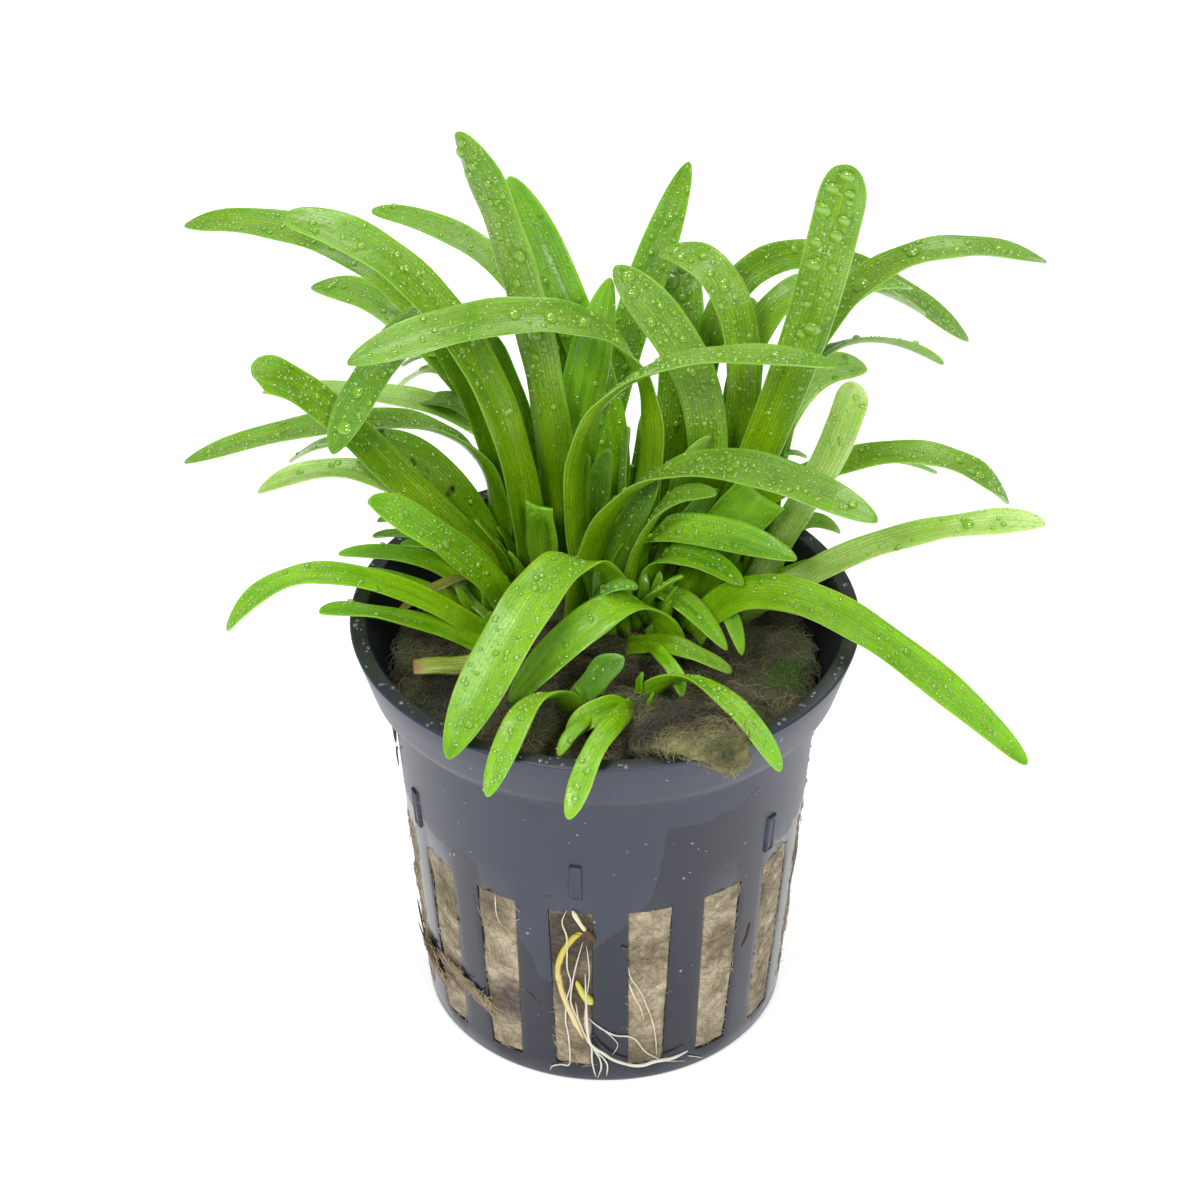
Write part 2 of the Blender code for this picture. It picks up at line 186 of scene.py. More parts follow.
def around(count: int) -> list[tuple[float, float]]:
    """Return the cosine and sine of evenly spaced turns."""
    turns = [2.0 * math.pi * k / count for k in range(count)]
    return [(math.cos(a), math.sin(a)) for a in turns]


def wall_ways(bearing: float) -> tuple[Vector, Vector]:
    """Return the level way out at a bearing in radians, and the level way along the wall."""
    outward = Vector((math.cos(bearing), math.sin(bearing), 0.0))
    return outward, Vector((-outward.y, outward.x, 0.0))


def turn_outward(item: Object) -> None:
    """Make every face of a closed mesh point outwards."""
    bm = bmesh.new()
    bm.from_mesh(item.data)
    bmesh.ops.recalc_face_normals(bm, faces=bm.faces)
    bm.to_mesh(item.data)
    bm.free()


def settle(item: Object, slot: str | None, *nodes: str) -> None:
    """Let a finished piece ride on the part and stand for its solids.

    Args:
        item: The piece.
        slot: The record's material slot for the piece; not used.
        nodes: The solids that it replaces.
    """
    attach(item, "root")
    if nodes:
        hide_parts(*nodes)
    LOG.info("%s: %d faces", item.name, len(item.data.polygons))


def fuzz(x: float, y: float, z: float, pitch: float, seed: float) -> float:
    """Return smooth noise from about -1 to 1 that changes over a pitch in millimetres."""
    return noise.noise(Vector((x / pitch + seed, y / pitch - seed, z / pitch + 2.0 * seed)))


class Tone(Enum):
    """The named looks of leaf tissue."""

    FRESH = "fresh"
    MATURE = "mature"
    DEEP = "deep"
    PALE = "pale"
    TEAL = "teal"
    BLOTCHED = "blotched"
    WITHERED = "withered"
    STUB = "stub"
    SHADE = "shade"


@dataclass(frozen=True)
class LeafFinish:
    """Living leaf tissue under a film of water. Toward the tip its colour is mixed with a paler film
    colour: partly the film's own haze, partly a painted sheen that stands for light reflected off
    the wet film.

    Air cells between parallel veins and short cross veins give the eye a fine brick-like
    grid, clearest low on the leaf where light comes through. Cell sizes are in millimetres,
    a little coarser than real ones so that they show.
    """

    deep: str
    fresh: str
    vein: str
    # The edge colour: a pale margin, partly a painted highlight.
    pale_edge_and_highlight: str
    # The film colour: partly the wet film's haze, partly a painted sheen.
    wet_film_and_sheen: str
    vein_strength: float = 0.5
    roughness: float = 0.34
    haze: float = 0.65
    blotch: str | None = None
    end: str | None = None
    cell_length: float = 1.15
    cell_width: float = 0.42

    def build(self, name: str) -> Material:
        """Return the leaf material.

        Args:
            name: The material's name.

        Returns:
            The material, which reads the maps "share" and "grain" of a blade.
        """
        material, add, place = new_material(name)
        grain = add("UVMap", uv_map="grain")
        share = add("SeparateXYZ", {0: add("UVMap", uv_map="share")}).outputs
        warp = add("TexNoise", {"Vector": grain, "Scale": 0.9, "Detail": 2.0})
        shifted = add("VectorMath", {0: warp.outputs["Color"], 1: (0.5, 0.5, 0.5)},
                      operation="SUBTRACT")
        bent = add("VectorMath", {0: shifted, 1: (1.5, 0.2, 0.0), 2: grain},
                   operation="MULTIPLY_ADD")
        cells = add("TexBrick", {
            "Vector": bent, "Color1": "#000000", "Color2": "#ffffff",
            "Mortar": (0.5, 0.5, 0.5, 1.0), "Scale": 1.0, "Mortar Size": 0.1,
            "Mortar Smooth": 0.8, "Brick Width": self.cell_length,
            "Row Height": self.cell_width}, offset=0.5)
        broad = add("TexNoise", {"Vector": place, "Scale": 130.0, "Detail": 3.0, "Roughness": 0.6})
        streak = add("Mapping", {"Vector": grain, "Scale": (0.09, 1.1, 1.0)})
        streaks = add("TexNoise", {"Vector": streak, "Scale": 1.0, "Detail": 3.0})
        blend = add("Math", {0: broad, 1: streaks}, operation="ADD")
        spread = add("MapRange", {"Value": blend, "From Min": 0.72, "From Max": 1.28})
        body = add("Mix", {0: spread, 6: self.deep, 7: self.fresh}, data_type="RGBA")
        cell_tone = add("MapRange", {"Value": cells, "To Min": 0.93, "To Max": 1.07})
        tint = add("HueSaturation", {"Color": body, "Value": cell_tone})
        # Painted sheen: toward the tip the tint is mixed, in grainy patches, with the pale film
        # colour, for the light that the wet film reflects.
        wetness = add("MapRange", {"Value": share[1], "From Min": 0.28,
                                   "From Max": 0.8, "To Max": self.haze})
        mist = add("TexNoise", {"Vector": place, "Scale": 2400.0, "Detail": 2.0})
        grains = add("MapRange", {"Value": mist, "From Min": 0.4, "From Max": 0.62,
                                  "To Min": 0.25})
        clouds = add("MapRange", {"Value": broad, "From Min": 0.38, "From Max": 0.56,
                                  "To Min": 0.3})
        frost = add("Math", {0: grains, 1: clouds}, operation="MULTIPLY")
        filmed = add("Math", {0: wetness, 1: frost}, operation="MULTIPLY")
        film_and_sheen_tint = add("Mix", {0: filmed, 6: tint, 7: self.wet_film_and_sheen}, data_type="RGBA")
        fade = add("MapRange", {
            "Value": share[1], "From Min": 0.45, "From Max": 0.95,
            "To Min": self.vein_strength, "To Max": 0.35 * self.vein_strength})
        veins = add("Math", {0: cells.outputs["Fac"], 1: fade}, operation="MULTIPLY")
        veined = add("Mix", {0: veins, 6: film_and_sheen_tint, 7: self.vein}, data_type="RGBA")
        # Paler edges: a thin pale margin, partly a painted highlight along each edge.
        side = add("Math", {0: share[0], 1: 0.5}, operation="SUBTRACT")
        reach = add("Math", {0: side}, operation="ABSOLUTE")
        edge = add("MapRange", {"Value": reach, "From Min": 0.465, "From Max": 0.5,
                                "To Max": 0.45}, interpolation_type="SMOOTHSTEP")
        colour = add("Mix", {0: edge, 6: veined, 7: self.pale_edge_and_highlight}, data_type="RGBA")
        if self.blotch is not None:
            spots = add("TexNoise", {"Vector": place, "Scale": 420.0, "Detail": 2.0})
            mask = add("MapRange", {"Value": spots, "From Min": 0.6, "From Max": 0.68})
            colour = add("Mix", {0: mask, 6: colour, 7: self.blotch}, data_type="RGBA")
        if self.end is not None:
            past = add("MapRange", {"Value": share[1], "From Min": 0.8, "From Max": 0.99})
            colour = add("Mix", {0: past, 6: colour, 7: self.end}, data_type="RGBA")
        damp = add("TexNoise", {"Vector": place, "Scale": 300.0, "Detail": 2.0})
        gloss = add("MapRange", {
            "Value": damp, "From Min": 0.35, "From Max": 0.65,
            "To Min": 0.45 * self.roughness, "To Max": 1.25 * self.roughness})
        ridge = add("Math", {0: cells.outputs["Fac"], 1: -0.4, 2: streaks},
                    operation="MULTIPLY_ADD")
        beaded = add("Math", {0: filmed, 1: 1.3, 2: ridge}, operation="MULTIPLY_ADD")
        relief = add("Math", {0: damp, 1: 1.2, 2: beaded}, operation="MULTIPLY_ADD")
        bump = add("Bump", {"Height": relief, "Strength": 0.55, "Distance": 0.06 * MM})
        return dress(material, {
            "Base Color": colour, "Roughness": gloss, "Normal": bump, "IOR": 1.35,
            "Subsurface Weight": 0.5, "Subsurface Radius": (0.6, 1.0, 0.2),
            "Subsurface Scale": 1.1 * MM, "Coat Weight": 0.28, "Coat Roughness": 0.09,
            "Coat IOR": 1.33})


# Each finish gives deep, fresh and vein colours, a pale edge that is partly a painted highlight, and
# a film colour that is partly a painted sheen.
LEAF_FINISHES = {
    Tone.FRESH: LeafFinish("#68a408", "#a2d21a", "#528c06", "#c0e070", "#80c456",
                           vein_strength=0.35, haze=0.5),
    Tone.MATURE: LeafFinish("#629408", "#96be14", "#4a780a", "#b2d67e", "#86b466"),
    Tone.DEEP: LeafFinish("#54860c", "#80ac20", "#3a680a", "#9cc66a", "#84b264"),
    Tone.PALE: LeafFinish("#96c03c", "#c6e08a", "#7ca434", "#e8f2c8", "#cce4a4",
                          vein_strength=0.5, haze=0.4),
    Tone.TEAL: LeafFinish("#55921e", "#86b844", "#427426", "#a8d494", "#8fc070",
                          vein_strength=0.25, roughness=0.24, haze=0.5),
    Tone.BLOTCHED: LeafFinish("#649609", "#90b220", "#4c7a0c", "#b2d67e", "#94b87c",
                              blotch="#2a3010"),
    Tone.WITHERED: LeafFinish("#626a1c", "#8f9434", "#4b4818", "#a8a058", "#8c8a44",
                              vein_strength=0.8, roughness=0.5),
    Tone.SHADE: LeafFinish("#588e06", "#8ab818", "#406a0a", "#9cc84c", "#8cb850",
                           vein_strength=0.4, haze=0.3),
    Tone.STUB: LeafFinish("#86a02c", "#b4c058", "#6f8428", "#ccd08c", "#c4c878",
                          vein_strength=0.6, end="#a8805c"),
}


@dataclass(frozen=True)
class Blade:
    """One strap leaf along the curve through its foot, middle and tip.

    A foot of two numbers stands at FOOT_HEIGHT. Roll turns the blade about its own length.
    """

    foot: tuple[float, ...]
    middle: Point
    tip: Point
    width: float
    roll: float = 0.0
    tone: Tone = Tone.MATURE
    wet: float = 1.0
    cut: bool = False
    point: float = 1.9
    bulk: float = 1.0

    BASE_SHARE = 0.8
    STEM_TURN = 0.65
    TURNED_TO = 0.65
    FULL_WIDTH_AT = 0.75
    THICK_BASE = 0.9
    THICK_TIP = 0.42
    KEEL = 0.12
    BODY_STEPS = 34
    TIP_STEPS = 9
    ACROSS = 6
    ROOTED = 2.4
    TIP_FULLNESS = 2.1
    TIP_ROUNDING = 0.52
    LEAST_WIDTH = 0.12
    TWIST = 5.0
    SWAY = 0.22

    def controls(self) -> tuple[Vector, Vector, Vector]:
        """Return the curve's foot, pull and tip."""
        height = (FOOT_HEIGHT,) if len(self.foot) == 2 else ()
        foot = Vector((*self.foot, *height))
        tip = Vector(self.tip)
        return foot, Vector(self.middle) * 2.0 - (foot + tip) * 0.5, tip

    def length(self) -> float:
        """Return the curve's length, near enough."""
        foot, pull, tip = self.controls()
        return ((pull - foot).length + (tip - pull).length + (tip - foot).length) * 0.5

    def shares(self) -> list[float]:
        """Return the shares of the curve where the blade has a section."""
        foot, pull, _ = self.controls()
        rise = max(2.0 * (pull.z - foot.z), 8.0)
        low = -min(self.ROOTED / rise, 0.09)
        start = self.tip_start()
        body = [low + (start - low) * k / self.BODY_STEPS for k in range(self.BODY_STEPS)]
        if self.cut:
            return [*body, 1.0]
        steps = range(self.TIP_STEPS + 1)
        return body + [start + (1.0 - start) * math.sin(0.5 * math.pi * k / self.TIP_STEPS)
                       for k in steps]

    def tip_start(self) -> float:
        """Return the share of the curve where the rounded tip begins."""
        return 1.0 if self.cut else 1.0 - self.point * self.width / self.length()

    def width_at(self, share: float) -> float:
        """Return the blade's width at a share of its curve."""
        grow = min(max(share, 0.0) / self.FULL_WIDTH_AT, 1.0)
        grow = grow * grow * (3.0 - 2.0 * grow)
        width = self.width * (self.BASE_SHARE + (1.0 - self.BASE_SHARE) * grow)
        start = self.tip_start()
        if share > start:
            past = (share - start) / (1.0 - start)
            width *= max(1.0 - past ** self.TIP_FULLNESS, 0.0) ** self.TIP_ROUNDING
        return max(width, self.LEAST_WIDTH)

    def plain_axes(self, share: float) -> tuple[Vector, Vector, Vector]:
        """Return the curve's place, its level right and its upper way, before any turn."""
        foot, pull, tip = self.controls()
        rest = 1.0 - share
        place = foot * rest * rest + pull * 2.0 * share * rest + tip * share * share
        run = tip - foot
        across = Vector((-run.y, run.x, 0.0)).normalized()
        forward = ((pull - foot) * rest + (tip - pull) * share).normalized()
        side = (across - forward * across.dot(forward)).normalized()
        return place, side, forward.cross(side)

    def axes(self, share: float, seed: int) -> tuple[Vector, Vector, Vector]:
        """Return the blade's place, the way to its right edge and the way its face looks."""
        place, side, upper = self.plain_axes(share)
        sway = math.sin(math.pi * min(max(share, 0.0), 1.0))
        turn = math.radians(self.roll + self.TWIST * sway * math.sin(5.0 * share + seed))
        turn += self.stem_turn() * max(1.0 - share / self.TURNED_TO, 0.0)
        edge = side * math.cos(turn) + upper * math.sin(turn)
        face = upper * math.cos(turn) - side * math.sin(turn)
        place += edge * (self.SWAY * sway * math.sin(7.0 * share + 1.7 * seed))
        return place, edge, face

    def stem_turn(self) -> float:
        """Return how far the foot turns its flat side to the front, in radians."""
        _, side, upper = self.plain_axes(0.0)
        gap = math.atan2(-side.dot(CAMERA_WAY), upper.dot(CAMERA_WAY))
        gap -= math.radians(self.roll)
        return self.STEM_TURN * ((gap + 0.5 * math.pi) % math.pi - 0.5 * math.pi)

    def shown_side(self, seed: int) -> float:
        """Return 1 where the blade turns its upper face up or to the front, and else -1."""
        face = self.axes(0.75, seed)[2]
        return 1.0 if face.z - face.y > 0.0 else -1.0

    def on_face(self, share: float, across: float, seed: int) -> tuple[Vector, Vector]:
        """Return a point on the blade's shown face and the way out of it.

        Args:
            share: The share of the blade's length.
            across: The place across it, from -1 to 1.
            seed: The blade's own number.

        Returns:
            The point, and the face's normal.
        """
        place, edge, face = self.axes(share, seed)
        half = 0.5 * self.width_at(share)
        low, high = self.section(share, across, seed)
        side = self.shown_side(seed)
        lift = high if side > 0.0 else low
        return place + edge * (half * across) + face * lift, face * side

    def section(self, share: float, across: float, seed: int) -> tuple[float, float]:
        """Return how far the blade's lower and upper skins lie along its face's normal."""
        width = self.width_at(share)
        thick = self.THICK_BASE + (self.THICK_TIP - self.THICK_BASE) * min(max(share, 0.0), 1.0)
        thick = min(thick * self.bulk, 0.8 * width if self.cut else 0.6 * width)
        lens = max(1.0 - abs(across) ** 2.4, 0.0) ** 0.6
        bend = self.KEEL * width * abs(across) ** 1.6
        ripple = 0.10 * self.width / 4.0 * math.sin(share * self.length() * 0.62 + seed * 2.3
                                                    + 1.6 * across) * abs(across) ** 3
        groove = 0.07 * (1.0 - 0.7 * share) * math.exp(-(across / 0.16) ** 2)
        middle = bend + ripple
        return middle - 0.5 * thick * lens, middle + 0.5 * thick * lens - groove

    def skin(self, seed: int) -> tuple[list, list, list, list]:
        """Return the blade's points, faces and two maps.

        Args:
            seed: The blade's own number, for its small bends.

        Returns:
            The points, the faces, the map "grain" in millimetres and the map "share".
        """
        count = self.ACROSS
        sides = [math.sin(0.5 * math.pi * k / count) for k in range(-count, count + 1)]
        loop = [(s, True) for s in sides] + [(s, False) for s in reversed(sides[1:-1])]
        points, grain, share_map = [], [], []
        shares = self.shares()
        for share in shares:
            place, edge, face = self.axes(share, seed)
            half = 0.5 * self.width_at(share)
            for across, top in loop:
                low, high = self.section(share, across, seed)
                lift = high if top else low
                points.append(place + edge * (half * across) + face * lift)
                grain.append((share * self.length() + 3.1 * seed, 0.5 * self.width * across
                              + 5.3 * seed))
                share_map.append((0.5 + 0.5 * across, share))
        return points, grid_faces(len(shares), len(loop)), grain, share_map


@dataclass(frozen=True)
class Shoot(Blade):
    """A short inner leaf, too small to need many faces."""

    BODY_STEPS = 11
    TIP_STEPS = 4
    ACROSS = 3


def leaf_piece(name: str, blades: Sequence[tuple[Blade, int]], material: Material) -> Object:
    """Make one piece from one or more blades.

    Args:
        name: The piece's name.
        blades: Each blade and its own number.
        material: The finish, which reads the maps "grain" and "share".

    Returns:
        The piece.
    """
    points, faces, grain, share = [], [], [], []
    for blade, seed in blades:
        skin = blade.skin(seed)
        join_shape(points, faces, skin[0], skin[1])
        grain += skin[2]
        share += skin[3]
    item = mesh_object(name, points, faces, material)
    corners = [one.vertex_index for one in item.data.loops]
    for title, values in (("grain", grain), ("share", share)):
        layer = item.data.uv_layers.new(name=title)
        layer.data.foreach_set("uv", np.array(values, dtype=np.float32)[corners].ravel())
    return item


F, M, D, P, T, B, W, S = (Tone.FRESH, Tone.MATURE, Tone.DEEP, Tone.PALE, Tone.TEAL,
                          Tone.BLOTCHED, Tone.WITHERED, Tone.STUB)

# The leaves of each rosette, in the order of the solids' numbers.
ROSETTES: dict[str, tuple[Blade, ...]] = {
    "main": (
        Blade((-9.5, 16.8), (-22, 23, 76.2), (-46.5, 34, 78.3), 4.8, -8, M),
        Blade((-7.8, 11.0), (-15.7, 11, 78.8), (-33.8, 16, 89.5), 4.8, -22, M),
        Blade((-2.5, 18.8), (-7, 22.6, 73.6), (-25.7, 34, 80.2), 3.9, -8, M),
        Blade((-5.3, 14.0), (-7.8, 14.5, 76.2), (-15.5, 19, 98), 5.6, 75, M, 1.6, point=1.4),
        Blade((0.5, 18.8), (-1, 20.3, 66.2), (-10.5, 31, 86.1), 4.6, -25, F),
        Blade((2.0, 10.5), (1, 9.5, 78.3), (-26.5, 0, 81.3), 4.8, -22, M),
        Blade((-3.8, 15.8), (-3.5, 16.2, 57.8), (0.5, 17, 81.6), 5.4, -85, F, 0.4),
        Blade((-1.5, 8.0), (0.5, 6, 73.5), (23.6, -3, 82.9), 3.6, 5, M, 1.5),
        Blade((-2.5, 5.0), (6.5, 3.5, 65.6), (28, -9, 67.8), 4.8, 15, M, 1.5),
        Blade((3.5, 11.5), (28, 8, 64.3), (43.3, 6, 60), 4.2, 0, M),
        Blade((-10.0, 8.5), (-28, 7, 69.5), (-36.9, 5, 76.9), 4.6, -32, M, point=1.6),
        Blade((-12.5, 14.5), (-18.5, 14.5, 64), (-46.5, 18, 57.4), 4.8, 0, M),
        Blade((-7.0, 16.5), (-15.3, 17, 76.8), (-28.6, 1.5, 69.3), 4.6, -10, D, point=1.3),
        Blade((-8.5, 19.6), (-14, 22, 60), (-39, 33, 57.1), 3.8, 0, P, 0.4),
        Blade((-12.5, 8.5), (-24, 7.5, 61.8), (-37, 4, 62.7), 3.8, 0, P, 0.5),
        Blade((-11.0, 11.8), (-19, 11.4, 61), (-26.9, 10, 64.6), 4.6, -25, B, 0.5),
        Blade((-6.5, 8.5), (-7, 7.5, 53), (-7.3, 7, 59), 3.5, 0, F, 0.2, True),
        Blade((4.0, 8.3), (6.8, 6.2, 56.2), (20.3, -2, 58.2), 4.5, 18, F),
        Blade((4.5, 5.8), (7.2, 4.2, 54.6), (14.8, -1, 54.2), 3.5, 18, F),
        Blade((-1.5, 21.2), (-0.3, 24, 57.7), (9.3, 34, 86.3), 4.4, 22, M, 1.4),
        Blade((-7.5, 22.0), (-18.7, 28.5, 65.8), (-33.2, 39, 67.5), 4.2, -15, M),
    ),
    "right": (
        Blade((8.5, 14.5), (10.8, 14.5, 66), (1, 19, 81.8), 4.8, -45, M, 1.6, point=1.5),
        Blade((6.5, 19.0), (8.3, 26, 67.2), (7.6, 36, 73.7), 5.2, 0, M, 1.4),
        Blade((12.0, 17.0), (14.5, 19, 74.4), (6, 27, 78.8), 4.2, -20, M, 1.6),
        Blade((12.0, 13.0), (21, 9.5, 79.8), (24.4, 5, 101.7), 5.2, -70, M, 1.3),
        Blade((9.5, 8.5), (12.6, 6.2, 54.8), (16.6, 3.6, 62.6), 5.8, -76, F, 0.3, True),
        Blade((11.0, 19.5), (16, 27, 76.7), (42, 41, 59.1), 3.8, 40, M),
        Blade((16.5, 14.5), (26, 18.5, 77.8), (48, 25, 78.8), 4.6, 0, M),
        Blade((14.3, 18.3), (18.7, 24, 73.5), (36, 33, 67.4), 4.2, 0, M),
        Blade((18.0, 14.5), (23, 20.5, 71.8), (33.7, 27, 74.3), 3.0, 0, F),
        Blade((15.8, 17.0), (20.3, 22.5, 61.8), (29.3, 29, 62.9), 3.8, 28, P, 0.6, point=1.3),
        Blade((16.5, 9.5), (23, 3, 67), (25.7, -3, 80.8), 3.7, -60, P, 0.6),
        Blade((17.0, 6.5), (32.2, 1, 59), (46, -4, 64.1), 3.7, 18, P, 0.7),
    ),
    "middle": (
        Blade((1.0, 1.5), (-4.5, -4, 58.2), (-16, -25.5, 49.8), 6.0, 0, F, 1.4, point=1.5),
        Blade((7.0, -1.0), (1, -5, 54), (-10, -13, 47.5), 4.4, -20, F, 0.4),
        Blade((10.0, 1.5), (22.4, -4.3, 53.8), (44.8, -14, 40.1), 4.6, 10, F, 1.2),
        Blade((-3.5, -1.2), (-0.5, -2, 53.7), (3.5, -3, 55.2), 2.8, 0, T, 1.2),
        Blade((5.5, 3.0), (7, 2.5, 50.5), (13, -5, 48.5), 3.4, 0, F, 0.8),
    ),
    "left": (
        Blade((-10.0, 3.0), (-15.5, 0, 57.7), (-24.6, -5, 67.7), 4.2, -40, F, 1.4, point=1.2),
        Blade((-13.0, 0.3), (-28.8, -4, 57.8), (-39.7, -9, 54), 3.4, 0, F),
        Blade((-13.5, 4.0), (-23.5, 2.5, 52.2), (-31, 2.3, 52.3), 3.0, 0, M, 0.5),
        Blade((-11.5, 6.5), (-15.5, 2.8, 52.3), (-22.3, 0.2, 49.8), 1.7, 0, W, 0.0),
        Blade((-13.0, -2.0), (-22.4, -2.5, 51.2), (-30.2, -6, 54.2), 2.8, 0, F, 0.6),
        Blade((-12.5, -4.5), (-17, -5.5, 46.7), (-20.5, -6, 46.8), 2.6, 0, S, 0.0, True, bulk=2.2),
    ),
    "front": (
        Blade((5.0, -9.5), (11, -16, 51.8), (17.8, -27, 49.4), 2.8, 0, F, 1.2),
        Blade((-2.5, -10.5), (-0.5, -10.5, 49.5), (2, -11, 52), 3.2, 66, T, 0.6, point=1.2),
        Blade((1.6, -13.2), (-0.9, -15.2, 48.0), (-4, -18, 46.5), 3.2, -20, F, 0.6, point=1.4),
        Blade((2.5, -13.0), (-0.2, -24.5, 51.8), (-3.8, -32, 47.2), 2.5, 0, F, 1.2),
        Blade((-3.5, -12.5), (-7.6, -20.5, 52.8), (-12, -29, 47.7), 3.1, 0, F, 1.4),
    ),
}

# Leaves too small for a solid of their own, by the rosette that they grow from.
SMALL_LEAVES: dict[str, tuple[Blade, ...]] = {
    "right": (
        Blade((16.5, 12.5), (22.5, 18, 69.8), (37.5, 25, 65.8), 2.6, -28, M, 1.0),
        Blade((18.5, 10.0), (25.3, 13, 59.2), (36.6, 16, 57.3), 1.8, -20, F, 0.3),
        Blade((14.5, 15.5), (17.5, 15, 58.5), (22.2, 16, 59.4), 1.6, -20, F, 0.3),
        Blade((11.5, 19.5), (15.4, 21.5, 62), (16.1, 30, 71.4), 3.6, 0, M, 0.8),
        Blade((15.0, 11.5), (21.5, 15.5, 50.6), (26.3, 17, 48.6), 2.2, 20, M, 0.2),
        Blade((15.5, 8.5), (22, 10, 49.2), (27.4, 10.5, 50.6), 1.2, -10, F, 0.2),
    ),
    "main": (
        Blade((-10.5, 20.0), (-14.2, 22, 60.4), (-22.3, 27, 58.9), 3.2, 0, D, 0.5),
        Blade((-8.0, 21.3), (-13.5, 24.5, 64.8), (-22.8, 31, 61.9), 2.6, 0, D, 0.8),
        Blade((-9.5, 20.8), (-15, 26, 62.4), (-23.4, 31, 59), 3.0, 0, P, 0.4),
        Blade((-12.5, 12.0), (-24, 16, 59.6), (-35.2, 22, 54.9), 2.6, 0, M, 0.4),
        Blade((2.0, 12.5), (2.0, 12.2, 57), (2.6, 12, 66), 1.9, 60, D, 0.4),
        Blade((2.5, 5.2), (5.4, 3.2, 60.2), (11.8, 1, 64.6), 2.4, 20, M, 0.6),
        Blade((0.0, 8.5), (2.7, 7.6, 55.5), (5.8, 6, 64.5), 3.2, 60, D, 0.5, point=1.2),
        Blade((3.0, 15.5), (4.0, 15.2, 57.5), (5.8, 15, 68), 3.0, 70, M, 0.3),
        Blade((-1.0, 13.0), (-0.6, 13.2, 55), (0.4, 13, 62.5), 2.6, 70, D, 0.3),
        Blade((6.0, 9.0), (8.4, 8.2, 54.5), (12.2, 8, 60.5), 3.2, -60, D, 0.3),
        Blade((5.5, 12.0), (8.2, 12.5, 57), (11.4, 12.5, 64.5), 3.2, -70, M, 0.3),
    ),
    "middle": (
        Blade((3.5, 3.4), (5.6, 1.2, 51.8), (8.4, 0, 54.7), 1.6, 0, F, 0.6),
        Blade((-1.8, 0.8), (-1, 0.2, 51), (-0.9, 0, 55.7), 1.3, 0, T, 0.4),
        Blade((8.5, 3.0), (12.5, 1, 49.6), (14.6, -5, 47.9), 2.0, 0, F, 0.4),
        Blade((3.5, -1.5), (8.5, -5, 48.5), (13.5, -7, 47), 2.8, 0, M, 0.3),
        Blade((4.2, -1.8), (6.6, -7, 48.8), (8.1, -12, 47.6), 1.8, 0, F, 0.3),
    ),
    "left": (
        Blade((-12.5, 5.5), (-17.5, 5.2, 55.2), (-25, 4, 57.1), 1.3, -10, D, 0.3),
        Blade((-12.8, 6.2), (-18.5, 8.2, 54.6), (-24.8, 9, 55.7), 1.2, -10, D, 0.3),
        Blade((-12.0, 6.0), (-16.8, 7, 52.4), (-22.2, 7, 54), 1.6, 0, F, 0.3),
        Blade((-13.0, 6.0), (-20, 6, 52.5), (-29, 7, 52.7), 3.0, 0, F, 0.5),
        Blade((-10.8, 0.0), (-14.5, 3, 49.4), (-17.3, 7, 50.8), 1.4, 0, D, 0.2),
    ),
    "front": (
        Blade((-1.5, -13.0), (-2.8, -18, 48.3), (-4.9, -21.5, 47.1), 1.6, 0, F, 0.2),
    ),
}


